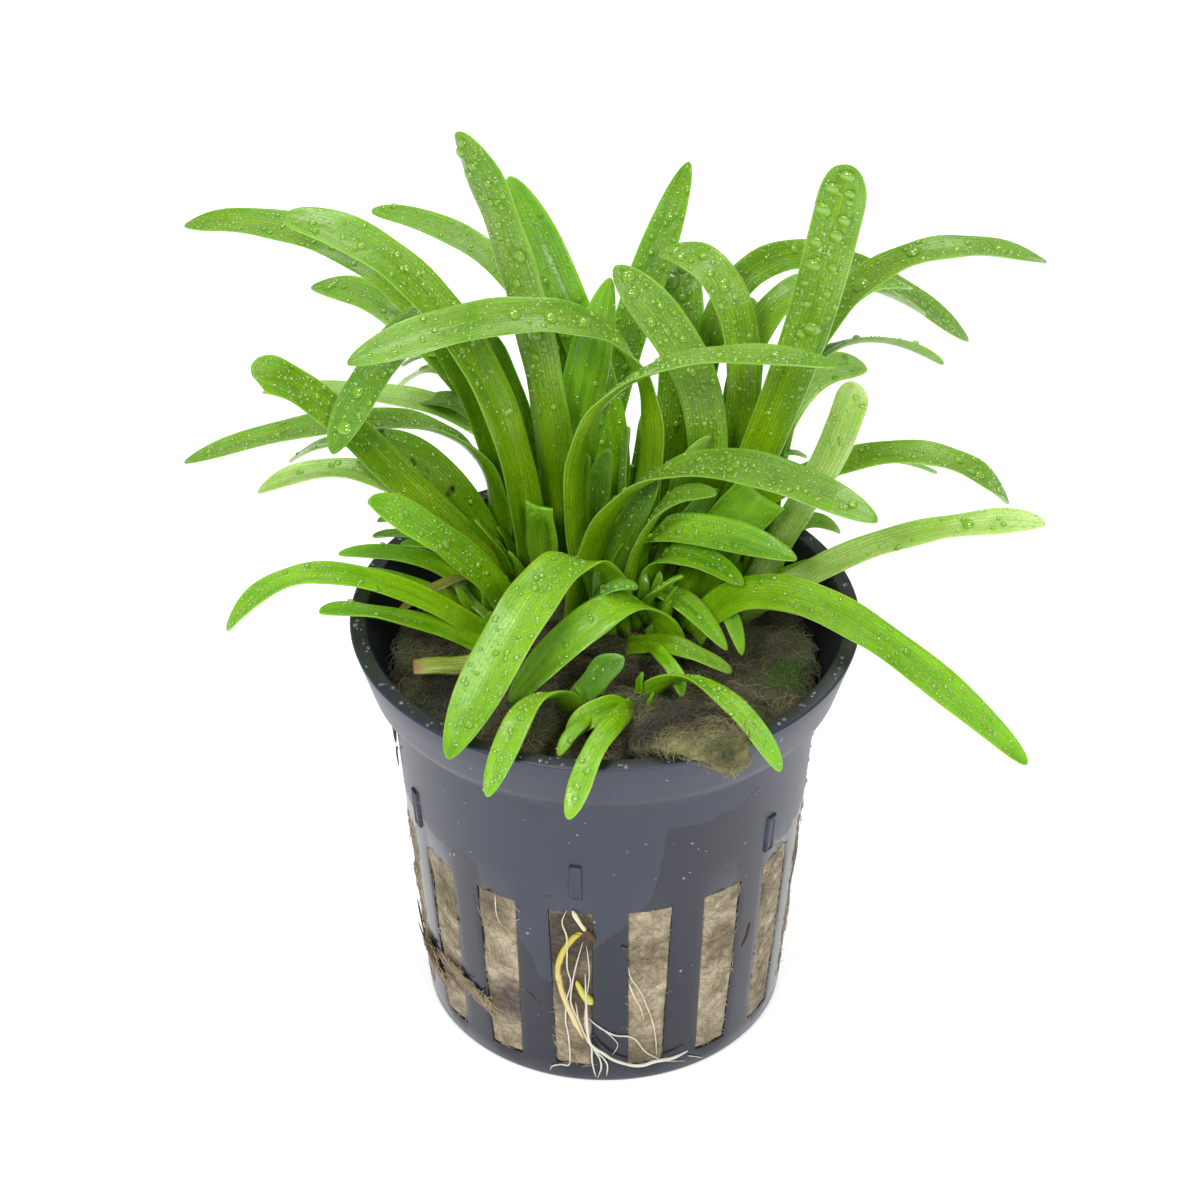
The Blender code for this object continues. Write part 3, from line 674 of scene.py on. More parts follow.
@dataclass(frozen=True)
class Scatter:
    """A Geometry Nodes tree that sets many copies of a small shape on a surface."""

    name: str
    density: float
    smallest: float
    largest: float
    skew: float
    lean: float
    seed: int

    INPUTS = {"Surface": "Geometry", "Shape": "Object", "Finish": "Material",
              "Density": "Float", "Smallest": "Float", "Largest": "Float", "Skew": "Float",
              "Lean": "Float", "Seed": "Int"}

    def tree(self) -> NodeTree:
        """Return the tree, with its sizes as named inputs."""
        tree = bpy.data.node_groups.new(self.name, "GeometryNodeTree")
        for title, kind in self.INPUTS.items():
            tree.interface.new_socket(title, in_out="INPUT", socket_type=f"NodeSocket{kind}")
        tree.interface.new_socket("Result", in_out="OUTPUT", socket_type="NodeSocketGeometry")
        add = partial(add_node, tree)
        given = add("NodeGroupInput").outputs
        cover = add("GeometryNodeInputNamedAttribute", {"Name": "cover"}, data_type="FLOAT")
        amount = add("Math", {0: cover, 1: given["Density"]}, operation="MULTIPLY")
        spots = add("GeometryNodeDistributePointsOnFaces", {
            "Mesh": given["Surface"], "Density": amount, "Seed": given["Seed"]})
        chance = add("FunctionNodeRandomValue", {"Seed": given["Seed"]}, data_type="FLOAT")
        skewed = add("Math", {0: chance, 1: given["Skew"]}, operation="POWER")
        size = add("MapRange", {
            "Value": skewed, "To Min": given["Smallest"], "To Max": given["Largest"]})
        low = add("Math", {0: given["Lean"], 1: -1.0}, operation="MULTIPLY")
        least = add("CombineXYZ", {"X": low, "Y": low, "Z": -math.pi})
        most = add("CombineXYZ", {"X": given["Lean"], "Y": given["Lean"], "Z": math.pi})
        spin = add("FunctionNodeRandomValue", {0: least, 1: most, "Seed": given["Seed"]},
                   data_type="FLOAT_VECTOR")
        turned = add("FunctionNodeRotateRotation", {
            "Rotation": spots.outputs["Rotation"], "Rotate By": spin}, rotation_space="LOCAL")
        shape = add("GeometryNodeObjectInfo", {"Object": given["Shape"]})
        copies = add("GeometryNodeInstanceOnPoints", {
            "Points": spots, "Instance": shape.outputs["Geometry"], "Rotation": turned,
            "Scale": size})
        real = add("GeometryNodeRealizeInstances", {0: copies})
        dressed = add("GeometryNodeSetMaterial", {"Geometry": real, "Material": given["Finish"]})
        add("NodeGroupOutput", {0: dressed})
        return tree

    def grow(self, surface: Object, cover: Sequence[float],
             shape: Object, finish: Material) -> Object:
        """Set the copies on a surface and return them as one plain mesh.

        Args:
            surface: The surface, which is left as it was.
            cover: Each point's share of the density, from 0 to 1.
            shape: The small shape, one millimetre in size in the scene's metres.
            finish: The copies' material.

        Returns:
            The new piece, linked to the scene.
        """
        layer = surface.data.attributes.new("cover", "FLOAT", "POINT")
        layer.data.foreach_set("value", cover)
        modifier = surface.modifiers.new(self.name, "NODES")
        modifier.node_group = self.tree()
        values = {"Shape": shape, "Finish": finish, "Density": self.density / MM ** 2,
                  "Smallest": self.smallest, "Largest": self.largest, "Skew": self.skew,
                  "Lean": math.radians(self.lean), "Seed": self.seed}
        for socket in modifier.node_group.interface.items_tree:
            if socket.name in values:
                modifier[socket.identifier] = values[socket.name]
        bpy.context.view_layer.update()
        graph = bpy.context.evaluated_depsgraph_get()
        mesh = bpy.data.meshes.new_from_object(surface.evaluated_get(graph), depsgraph=graph)
        surface.modifiers.remove(modifier)
        surface.data.attributes.remove(surface.data.attributes["cover"])
        mesh.name = self.name
        mesh.shade_smooth()
        return link_object(self.name, mesh)


def small_shape(name: str, points: Sequence[Vector], rows: int, sides: int) -> Object:
    """Return a closed shape from rings of points, in metres and not linked to the scene."""
    mesh = bpy.data.meshes.new(name)
    mesh.from_pydata([point * MM for point in points], [], grid_faces(rows, sides))
    mesh.shade_smooth()
    return bpy.data.objects.new(name, mesh)


def bead(sides: int, rings: int) -> Object:
    """Return a bead of water of 1 mm radius that sits on a surface, flat underneath."""
    points = []
    for k in range(rings + 1):
        rise = math.radians(100.0 * k / rings - 20.0)
        points += [Vector((math.cos(rise) * c, math.cos(rise) * s, 0.6 * math.sin(rise) + 0.1))
                   for c, s in around(sides)]
    item = small_shape("bead", points, rings + 1, sides)
    turn_outward(item)
    return item


def strand(curl: float, rise: float, thick: float, sides: int = 3, steps: int = 4) -> Object:
    """Return a bent strand 1 mm long that lies on a surface and lifts off it a little.

    Args:
        curl: How far it bends sideways, as a share of its length.
        rise: How far its middle lifts, as a share of its length.
        thick: Its radius as a share of its length.
        sides: How many sides it has.
        steps: How many stretches it has.

    Returns:
        The strand.
    """
    points = []
    for k in range(steps + 1):
        t = k / steps
        centre = Vector((t - 0.5, curl * math.sin(math.pi * t) * (1.0 if t < 0.6 else 0.4),
                         rise * math.sin(math.pi * t)))
        slim = thick * (0.35 + 0.65 * math.sin(math.pi * min(max(t, 0.08), 0.92)))
        points += [centre + Vector((0.0, c, s)) * slim for c, s in around(sides)]
    return small_shape("strand", points, steps + 1, sides)


def lay_beads(name: str, shape: Object, spots: Sequence, water: Material) -> None:
    """Set beads of water at their places, as one piece.

    Args:
        name: The piece's name.
        shape: The bead, which is removed afterwards.
        spots: Each bead's place, the way out of its surface and its scale.
        water: The beads' finish.
    """
    points, faces = [], []
    sides = [tuple(face.vertices) for face in shape.data.polygons]
    for place, way, scale in spots:
        turn = way.to_track_quat("Z", "Y")
        join_shape(points, faces,
                   [place + turn @ (point.co * scale) for point in shape.data.vertices], sides)
    bpy.data.objects.remove(shape)
    settle(mesh_object(name, points, faces, water, closed=False), None)


@dataclass(frozen=True)
class Water:
    """Tap water in beads: it takes the tone of what it lies on, with a bright highlight."""

    name: str
    shallow: str
    full: str
    body: float

    def build(self) -> Material:
        """Return the water material."""
        material, add, place = new_material(self.name)
        swell = add("TexNoise", {"Vector": place, "Scale": 900.0})
        # In the beads on the plastic and the fine beads the full tone is paler: a painted glint.
        tint = add("Mix", {0: swell, 6: self.shallow, 7: self.full}, data_type="RGBA")
        bump = add("Bump", {"Height": swell, "Strength": 0.1, "Distance": 0.05 * MM})
        return dress(material, {
            "Base Color": tint, "Normal": bump, "Roughness": 0.05, "IOR": 1.33,
            "Coat Weight": 1.0, "Coat Roughness": 0.04, "Coat IOR": 1.9, "Alpha": self.body})


# Large drops by leaf: (share of its length, place across it, radius).
BIG_DROPS: dict[tuple[str, int], tuple[tuple[float, float, float], ...]] = {
    ("right", 4): ((0.965, 0.1, 0.75), (0.90, -0.45, 0.7), (0.90, 0.3, 0.55), (0.87, 0.35, 0.5),
                   (0.82, -0.6, 0.85), (0.81, 0.3, 0.7), (0.76, 0.15, 0.8), (0.72, -0.55, 0.75),
                   (0.67, 0.3, 0.65), (0.66, -0.45, 0.95), (0.60, 0.35, 0.5), (0.56, -0.3, 0.45),
                   (0.51, 0.2, 0.85), (0.49, -0.2, 0.5), (0.45, -0.4, 0.4)),
    ("main", 4): ((0.97, 0.1, 0.5), (0.95, -0.45, 0.55), (0.93, 0.4, 0.4), (0.91, 0.0, 0.5),
                  (0.89, -0.5, 0.6), (0.86, 0.35, 0.5), (0.83, -0.2, 0.45), (0.80, 0.5, 0.4),
                  (0.76, 0.1, 0.5), (0.72, -0.4, 0.4), (0.68, 0.55, 0.75), (0.62, 0.1, 0.5),
                  (0.55, -0.2, 0.65), (0.50, 0.3, 0.9), (0.45, 0.1, 0.5)),
    ("right", 1): ((0.96, -0.2, 0.75), (0.92, 0.3, 0.6), (0.85, -0.35, 0.5), (0.83, 0.45, 0.6),
                   (0.78, 0.1, 0.45), (0.74, -0.3, 0.5), (0.7, 0.4, 0.5), (0.64, 0.0, 0.45)),
    ("right", 2): ((0.93, 0.1, 0.7), (0.85, -0.3, 0.6), (0.78, 0.35, 0.95), (0.7, -0.1, 0.5)),
    ("right", 3): ((0.94, -0.1, 0.6), (0.9, 0.35, 0.7), (0.82, -0.25, 0.5), (0.74, 0.2, 0.55),
                   (0.66, 0.0, 0.8), (0.6, -0.3, 0.45)),
    ("right", 7): ((0.9, 0.1, 0.6), (0.8, -0.2, 0.5), (0.7, 0.2, 0.75), (0.55, -0.1, 0.8)),
    ("right", 8): ((0.88, 0.0, 0.5), (0.7, 0.2, 0.45)),
    ("right", 12): ((0.72, 0.0, 0.7), (0.85, -0.2, 0.35)),
    ("main", 6): ((0.9, 0.2, 0.4), (0.75, -0.1, 0.6), (0.68, 0.1, 0.85), (0.6, 0.0, 0.75),
                  (0.5, 0.1, 0.5)),
    ("main", 8): ((0.9, 0.2, 0.5), (0.8, -0.1, 0.6), (0.7, 0.1, 0.5), (0.6, 0.0, 0.6),
                  (0.5, 0.1, 0.55), (0.42, -0.1, 0.45)),
    ("main", 9): ((0.95, 0.3, 0.5), (0.85, -0.2, 0.4), (0.7, 0.1, 0.5), (0.5, 0.2, 0.45)),
    ("main", 10): ((0.95, 0.1, 0.5), (0.86, -0.1, 0.55), (0.78, 0.2, 0.45)),
    ("main", 13): ((0.96, 0.1, 0.9), (0.9, -0.2, 0.6), (0.8, 0.2, 0.4)),
    ("main", 20): ((0.92, 0.0, 0.6), (0.8, -0.2, 0.8), (0.7, 0.2, 0.75), (0.6, -0.1, 0.6)),
    ("main", 21): ((0.93, 0.0, 0.8),),
    ("main", 1): ((0.9, 0.1, 0.4), (0.8, -0.1, 0.45), (0.65, 0.1, 0.5)),
    ("main", 2): ((0.93, 0.0, 0.45), (0.8, 0.2, 0.5), (0.68, -0.2, 0.45)),
    ("main", 12): ((0.85, 0.1, 0.5), (0.7, -0.1, 0.45)),
    ("middle", 1): ((0.62, -0.2, 0.5), (0.8, 0.2, 0.45), (0.45, 0.3, 0.4)),
    ("left", 1): ((0.85, 0.1, 0.5), (0.6, 0.1, 0.6)),
    ("front", 4): ((0.9, 0.0, 0.5), (0.75, 0.2, 0.45)),
    ("front", 5): ((0.85, 0.0, 0.4),),
}


@dataclass
class Foliage:
    """Every leaf of the plant, and the water on them."""

    water: Material
    # The fine beads' water: its pale tone is a painted glint.
    mist: Material
    crowns: dict[str, tuple[tuple[float, float], tuple[float, float]]]
    fine: Scatter = Scatter("fine_beads", 1.8, 0.07, 0.19, 1.4, 0.0, 11)
    beads: Scatter = Scatter("round_beads", 0.26, 0.2, 0.46, 2.0, 0.0, 12)
    shoots: tuple[tuple[str, int, float, float], ...] = (
        ("main", 26, 3.0, 15.0), ("right", 15, 3.0, 12.0), ("middle", 14, 2.0, 7.0),
        ("left", 8, 2.0, 5.5), ("front", 6, 1.5, 3.5))
    wet_points: list = field(default_factory=list)
    wet_faces: list = field(default_factory=list)
    wet_cover: list = field(default_factory=list)

    def note_wet(self, blade: Blade, seed: int) -> None:
        """Add a blade's upper face to the surface that the beads of water lie on."""
        rows, columns = 31, 7
        points, faces = [], grid_faces(rows, columns, closed=False)
        for share in [0.12 + 0.86 * k / (rows - 1) for k in range(rows)]:
            for across in [-0.86 + 1.72 * k / (columns - 1) for k in range(columns)]:
                points.append(blade.on_face(share, across, seed)[0])
                self.wet_cover.append(blade.wet * min(max(2.6 * share - 0.6, 0.05), 1.0))
        if blade.shown_side(seed) > 0.0:
            faces = [face[::-1] for face in faces]
        join_shape(self.wet_points, self.wet_faces, points, faces)

    def build(self) -> None:
        """Make every leaf and the beads of water on them."""
        finishes = {tone: LEAF_FINISHES[tone].build(f"leaf_tissue_{tone.value}") for tone in Tone}
        seed = 0
        drops = []
        for table, title in ((ROSETTES, "blade"), (SMALL_LEAVES, "small")):
            for rosette, blades in table.items():
                for number, blade in enumerate(blades, start=1):
                    seed += 1
                    item = leaf_piece(f"{title}_{rosette}_{number:02d}", [(blade, seed)],
                                      finishes[blade.tone])
                    nodes = [f"leaf_{rosette}_{number:02d}"] if title == "blade" else []
                    settle(item, "leaf_green", *nodes)
                    self.note_wet(blade, seed)
                    if nodes:
                        drops += [(*blade.on_face(share, across, seed), radius) for
                                  share, across, radius in BIG_DROPS.get((rosette, number), ())]
        self.build_shoots(finishes)
        self.build_beads()
        chance = np.random.default_rng(6)
        lay_beads("large_drops", bead(16, 7), [
            (place, way, Vector((*chance.uniform(0.82, 1.16, 2), 1.0)) * (radius / MM))
            for place, way, radius in drops], self.water)

    def build_shoots(self, finishes: dict[Tone, Material]) -> None:
        """Fill the heart of each rosette with short inner leaves."""
        chance = np.random.default_rng(5)
        for rosette, count, least, most in self.shoots:
            centre, radii = self.crowns[rosette]
            made = []
            for number in range(count):
                turn = 2.0 * math.pi * (number + chance.uniform(-0.3, 0.3)) / count
                out = chance.uniform(0.2, 0.85)
                x = centre[0] + radii[0] * out * math.cos(turn)
                y = centre[1] + radii[1] * out * math.sin(turn)
                high = least + (most - least) * chance.uniform(0.0, 1.0) ** 1.4
                lean = high * chance.uniform(0.1, 0.45)
                way = (lean * math.cos(turn), lean * math.sin(turn))
                made.append((Shoot((x, y), (x + 0.3 * way[0], y + 0.3 * way[1],
                                            FOOT_HEIGHT + 0.55 * high),
                                   (x + way[0], y + way[1], FOOT_HEIGHT + high),
                                   min(1.1 + 0.11 * high, 2.4), chance.uniform(-30.0, 30.0),
                                   point=3.0), 500 + number))
            settle(leaf_piece(f"shoots_{rosette}", made, finishes[Tone.SHADE]), "leaf_green")

    def build_beads(self) -> None:
        """Set small beads of water on the upper faces of the leaves."""
        carrier = mesh_object("wet_faces", self.wet_points, self.wet_faces, self.water,
                              closed=False)
        for scatter, shape, water in ((self.fine, bead(5, 2), self.mist),
                                      (self.beads, bead(7, 3), self.water)):
            settle(scatter.grow(carrier, self.wet_cover, shape, water), None)
            bpy.data.objects.remove(shape)
        bpy.data.objects.remove(carrier)


@dataclass(frozen=True)
class PotPlastic:
    """Injection-moulded polypropylene, dark slate, smooth and a little hazy.

    A film of water covers its lower part up to a crisp edge: darker and glossier there.
    """

    name: str = "moulded_polypropylene"
    dry: str = "#33394a"
    wet: str = "#1c2130"
    dust: str = "#a3a5ab"
    grime: str = "#1b1a1a"
    half_width: float = 30.0
    top: float = 50.0
    film_edge: tuple[tuple[float, float], ...] = (
        (-25.0, 28.0), (-13.0, 28.5), (-11.0, 26.0), (-9.0, 20.0), (-5.0, 15.5), (-3.0, 19.0),
        (-0.3, 22.5), (2.0, 24.0), (4.5, 27.0), (6.0, 33.0), (6.6, 37.0), (12.0, 37.5),
        (16.5, 38.5), (17.0, 30.0), (25.0, 29.0))

    def build(self) -> Material:
        """Return the plastic."""
        material, add, place = new_material(self.name)
        wander = add("TexNoise", {"Vector": place, "Scale": 260.0, "Detail": 2.0})
        axes = add("SeparateXYZ", {0: place}).outputs
        along = add("MapRange", {
            "Value": axes[0], "From Min": -self.half_width * MM,
            "From Max": self.half_width * MM})
        edge = add("FloatCurve", {"Value": along})
        for x, z in self.film_edge:
            edge.mapping.curves[0].points.new(0.5 + 0.5 * x / self.half_width, z / self.top)
        edge.mapping.update()
        level = add("Math", {0: wander, 1: 0.09, 2: edge}, operation="MULTIPLY_ADD")
        height = add("Math", {0: axes[2], 1: self.top * MM}, operation="DIVIDE")
        under = add("Math", {0: level, 1: height}, operation="SUBTRACT")
        film = add("MapRange", {"Value": under, "From Min": 0.044, "From Max": 0.05})
        haze = add("TexNoise", {"Vector": place, "Scale": 90.0, "Detail": 5.0})
        clouded = add("Mix", {0: haze, 6: self.dry, 7: self.wet}, data_type="RGBA")
        dull = add("Mix", {0: 0.3, 6: self.dry, 7: clouded}, data_type="RGBA")
        colour = add("Mix", {0: film, 6: dull, 7: self.wet}, data_type="RGBA")
        for scale, least, code in ((900.0, 0.76, self.dust), (620.0, 0.75, self.grime)):
            specks = add("TexNoise", {"Vector": place, "Scale": scale, "Detail": 1.0})
            mask = add("MapRange", {"Value": specks, "From Min": least,
                                    "From Max": least + 0.03, "To Max": 0.8})
            colour = add("Mix", {0: mask, 6: colour, 7: code}, data_type="RGBA")
        rough = add("MapRange", {"Value": film, "To Min": 0.38, "To Max": 0.2})
        peel = add("TexNoise", {"Vector": place, "Scale": 260.0, "Detail": 4.0})
        raised = add("Math", {0: film, 1: 0.8, 2: peel}, operation="MULTIPLY_ADD")
        bump = add("Bump", {"Height": raised, "Strength": 0.3, "Distance": 0.06 * MM})
        return dress(material, {"Base Color": colour, "Roughness": rough, "Normal": bump,
                                "IOR": 1.49})


@dataclass
class NetPot:
    """The slotted pot: a turned shell with sixteen slots and small moulded tabs."""

    height: float = 50.0
    rim_radius: float = 27.5
    rim_face: float = 1.9
    rim_edge: float = 0.2
    collar_bottom: float = 43.2
    collar_lip: float = 0.5
    collar_radius: float = 25.6
    neck_height: float = 41.0
    neck_radius: float = 23.3
    base_radius: float = 20.3
    wall: float = 1.0
    floor: float = 1.6
    foot_bevel: float = 0.6
    slots: int = 16
    slot_bottom: float = 2.7
    slot_top: float = 26.2
    slot_width_top: float = 4.9
    slot_width_bottom: float = 3.9
    front_rib_turn: float = 1.5
    bevel: float = 0.16
    hub_radius: float = 6.0
    collar_steps: tuple[tuple[float, float], ...] = ((0.95, 3.6), (0.35, 1.6))
    body_rows: tuple[float, ...] = (36.0, 31.0)
    tab_width: float = 1.4
    tab_height: float = 5.0
    tab_bottom: float = 28.2
    tab_rise: float = 0.3
    tab_root: float = 0.6
    tab_bearings: tuple[float, ...] = (-98.0, -38.0, -155.0, 22.0, 82.0, 142.0)

    def radius(self, height: float) -> float:
        """Return the outside radius of the tapered body at a height."""
        share = (height - self.slot_bottom) / (self.neck_height - self.slot_bottom)
        return self.base_radius + (self.neck_radius - self.base_radius) * share

    def outside(self) -> list[tuple[float, float]]:
        """Return (radius, height) points down the outside, from the rim to the base."""
        rows = [
            (self.rim_radius - self.rim_edge, self.height),
            (self.rim_radius, self.height - self.rim_edge),
            *((self.collar_radius + out, self.collar_bottom + up)
              for out, up in self.collar_steps),
            (self.collar_radius, self.collar_bottom + self.collar_lip),
            (self.collar_radius - self.collar_lip, self.collar_bottom),
            (self.neck_radius + self.collar_lip, self.collar_bottom - self.collar_lip),
            (self.neck_radius + 0.12, self.collar_bottom - 1.2),
            (self.neck_radius, self.neck_height),
        ]
        rows += [(self.radius(z), z) for z in (*self.body_rows, *self.slot_rows())]
        foot = self.radius(self.foot_bevel)
        return rows + [(foot, self.foot_bevel), (foot - 0.5 * self.foot_bevel, 0.12),
                       (foot - self.foot_bevel, 0.0), (self.hub_radius, 0.0)]

    def inside(self) -> list[tuple[float, float]]:
        """Return (radius, height) points up the inside, from the floor to the rim."""
        rows = reversed((*self.body_rows, *self.slot_rows()))
        return [
            (self.hub_radius, self.floor),
            (self.base_radius - self.wall - self.foot_bevel, self.floor),
            *((self.radius(z) - self.wall, z) for z in rows),
            (self.neck_radius - self.wall, self.neck_height),
            (self.collar_radius - self.wall, self.collar_bottom + self.collar_lip),
            (self.rim_radius - self.rim_face, self.height - self.rim_edge),
            (self.rim_radius - self.rim_face + self.rim_edge, self.height),
        ]

    def slot_rows(self) -> list[float]:
        """Return the heights of the slots' own rows, from top to bottom."""
        steps = 8
        fall = (self.slot_bottom - self.slot_top) / steps
        return [self.slot_top + fall * k for k in range(steps + 1)]

    def slot_half(self, height: float) -> float:
        """Return half the angle that a slot spans at a height, or at its nearest end."""
        inside = min(max(height, self.slot_bottom), self.slot_top)
        share = (inside - self.slot_bottom) / (self.slot_top - self.slot_bottom)
        width = self.slot_width_bottom + (self.slot_width_top - self.slot_width_bottom) * share
        return 0.5 * width / self.radius(inside)

    def slot_middles(self) -> list[float]:
        """Return the bearing of each slot's middle, in radians."""
        pitch = 2.0 * math.pi / self.slots
        return [math.radians(self.front_rib_turn - 90.0) + pitch * (index + 0.5)
                for index in range(self.slots)]

    def bearings(self, height: float) -> list[float]:
        """Return the bearing of every column of points at a height, in radians."""
        half = self.slot_half(height)
        rib = 2.0 * math.pi / self.slots - 2.0 * half
        out = []
        for middle in self.slot_middles():
            out += [middle + half * k for k in (-1.0, -0.5, 0.0, 0.5)]
            out += [middle + half + rib * k for k in (0.0, 0.25, 0.5, 0.75)]
        return out

    def add_tabs(self, points: list, faces: list) -> None:
        """Add the small moulded tabs, each a low plate with a sloping frame.

        Args:
            points: The pot's points, which take the tabs' points too.
            faces: The pot's faces.
        """
        for bearing in self.tab_bearings:
            outward, along = wall_ways(math.radians(bearing))
            more = []
            for inset, rise in ((0.0, -self.tab_root), (0.0, 0.0), (0.12, self.tab_rise),
                                (0.3, self.tab_rise), (0.42, 0.5 * self.tab_rise)):
                half = 0.5 * self.tab_width - inset
                low, high = self.tab_bottom + inset, self.tab_bottom + self.tab_height - inset
                more += [outward * (self.radius(height) + rise) + along * side + UP * height
                         for side, height in ((-half, low), (half, low), (half, high),
                                              (-half, high))]
            join_shape(points, faces, more, grid_faces(5, 4))

    def build(self, outer: Material, inner: Material) -> Object:
        """Make the pot.

        Args:
            outer: The finish of the outside wall.
            inner: The finish of the rim's flat top, the inside and the slots' edges, a darker copy
                of the same plastic: painted shade.

        Returns:
            The pot.
        """
        outside, inside = self.outside(), self.inside()
        rows = outside + inside
        points = []
        for radius, height in rows:
            points += [(radius * math.cos(a), radius * math.sin(a), height)
                       for a in self.bearings(height)]
        columns = 8 * self.slots
        steps = len(self.slot_rows()) - 1
        first = outside.index((self.radius(self.slot_top), self.slot_top))
        twin = len(outside) + 2 + steps
        slot_rows = {*range(first, first + steps), *range(twin - steps, twin)}

        def face(*corners: tuple[int, int]) -> tuple[int, ...]:
            """Return a face from its corners' rows and columns."""
            return tuple(row % len(rows) * columns + k % columns for row, k in corners)

        faces, within = [], []
        for row in range(len(rows)):
            for k in range(columns):
                if row == len(outside) - 1 or (row in slot_rows and k % 8 < 4):
                    continue
                faces.append(face((row, k), (row, k + 1), (row + 1, k + 1), (row + 1, k)))
                within.append(1 if row >= len(outside) else 0)
        for row in (len(outside) - 1, len(outside)):
            faces.append(face(*((row, k) for k in range(columns))))
        for index in range(0, columns, 8):
            for k in (index, index + 4):
                for out, back in ((first + n, twin - n) for n in range(steps)):
                    faces.append(face((out, k), (out + 1, k), (back - 1, k), (back, k)))
            for k in range(index, index + 4):
                for out, back in ((first, twin), (first + steps, twin - steps)):
                    faces.append(face((out, k), (out, k + 1), (back, k + 1), (back, k)))
        within += [0, 1] + [1] * (len(faces) - len(within) - 2)
        self.add_tabs(points, faces)
        within += [0] * (len(faces) - len(within))
        pot = mesh_object("slotted_pot", points, faces, outer)
        pot.data.materials.append(inner)
        pot.data.polygons.foreach_set("material_index", within)
        edge = pot.modifiers.new("moulded_edges", "BEVEL")
        edge.width = self.bevel * MM
        edge.segments = 2
        edge.limit_method = "ANGLE"
        edge.angle_limit = math.radians(38.0)
        return pot


@dataclass(frozen=True)
class Stain:
    """A stained place on the wool, soft at its edge."""

    place: Point
    reach: float
    colour: str
    strength: float = 0.85


@dataclass(frozen=True)
class WoolFinish:
    """Spun mineral fibre, dull and felted, stained by roots and algae."""

    name: str
    light: str
    dark: str
    patch: str
    patch_share: float = 0.35
    stains: tuple[Stain, ...] = ()

    def build(self) -> Material:
        """Return the wool material."""
        material, add, place = new_material(self.name)
        broad = add("TexNoise", {"Vector": place, "Scale": 330.0, "Detail": 7.0,
                                 "Roughness": 0.75})
        tone = add("MapRange", {"Value": broad, "From Min": 0.34, "From Max": 0.66})
        colour = add("Mix", {0: tone, 6: self.dark, 7: self.light}, data_type="RGBA")
        patch = add("TexNoise", {"Vector": place, "Scale": 160.0, "Detail": 4.0, "Roughness": 0.6})
        mask = add("MapRange", {
            "Value": patch, "From Min": 0.72 - 0.4 * self.patch_share,
            "From Max": 0.86 - 0.4 * self.patch_share})
        colour = add("Mix", {0: mask, 6: colour, 7: self.patch}, data_type="RGBA")
        for stain in self.stains:
            gap = add("VectorMath", {0: place, 1: tuple(c * MM for c in stain.place)},
                      operation="DISTANCE")
            uneven = add("Math", {0: patch, 1: -1.6 * stain.reach * MM, 2: gap},
                         operation="MULTIPLY_ADD")
            share = add("MapRange", {
                "Value": uneven, "From Min": 0.2 * stain.reach * MM,
                "From Max": -0.35 * stain.reach * MM, "To Max": stain.strength})
            colour = add("Mix", {0: share, 6: colour, 7: stain.colour}, data_type="RGBA")
        fine = add("TexNoise", {"Vector": place, "Scale": 2000.0, "Detail": 4.0,
                                "Distortion": 1.0})
        bump = add("Bump", {"Height": fine, "Strength": 0.45, "Distance": 0.1 * MM})
        return dress(material, {"Base Color": colour, "Normal": bump, "Roughness": 0.8,
                                "Sheen Weight": 0.2})


SLOT_STAINS = (
    Stain((-3.6, -21.3, 22.5), 6.5, "#3a2c1c", 0.9), Stain((-3.6, -21.0, 14.5), 5.5, "#46351f"),
    Stain((-2.2, -20.6, 6.0), 2.5, "#6a5a3c", 0.6), Stain((-10.2, -18.2, 10.5), 4.6, "#4d3a38"),
    Stain((-12.0, -17.6, 24.5), 3.6, "#5c4a32", 0.7), Stain((-16.6, -12.6, 9.5), 3.2, "#5d4a38"),
    Stain((12.5, -17.5, 19.0), 3.0, "#7a6848", 0.6),
    Stain((5.0, -20.5, 4.5), 2.6, "#7c6c4c", 0.6), Stain((16.5, -13.5, 22.0), 2.8, "#5e4a2c"),
    Stain((-17.5, -13.0, 22.0), 3.5, "#7a6c40", 0.6),
)
TOP_STAINS = (
    Stain((6.0, -17.0, 45.0), 6.0, "#4a2f24", 0.8), Stain((19.5, -4.0, 44.5), 2.6, "#35601a", 0.6),
    Stain((16.0, 2.0, 44.5), 5.0, "#3c3a1c", 0.7), Stain((-16.0, -8.0, 44.5), 6.0, "#33382c", 0.8),
)
TUFT_STAINS = (
    Stain((5.0, -20.5, 48.5), 5.0, "#2e2a1a", 0.9),
    Stain((7.0, -15.5, 48.5), 5.0, "#352c1e"), Stain((8.5, -19.0, 48.5), 4.5, "#3a3420", 0.85),
    Stain((9.0, -22.0, 50.0), 2.4, "#5a3428", 0.85), Stain((11.5, -21.0, 49.5), 2.6, "#4a4a24", 0.8),
)


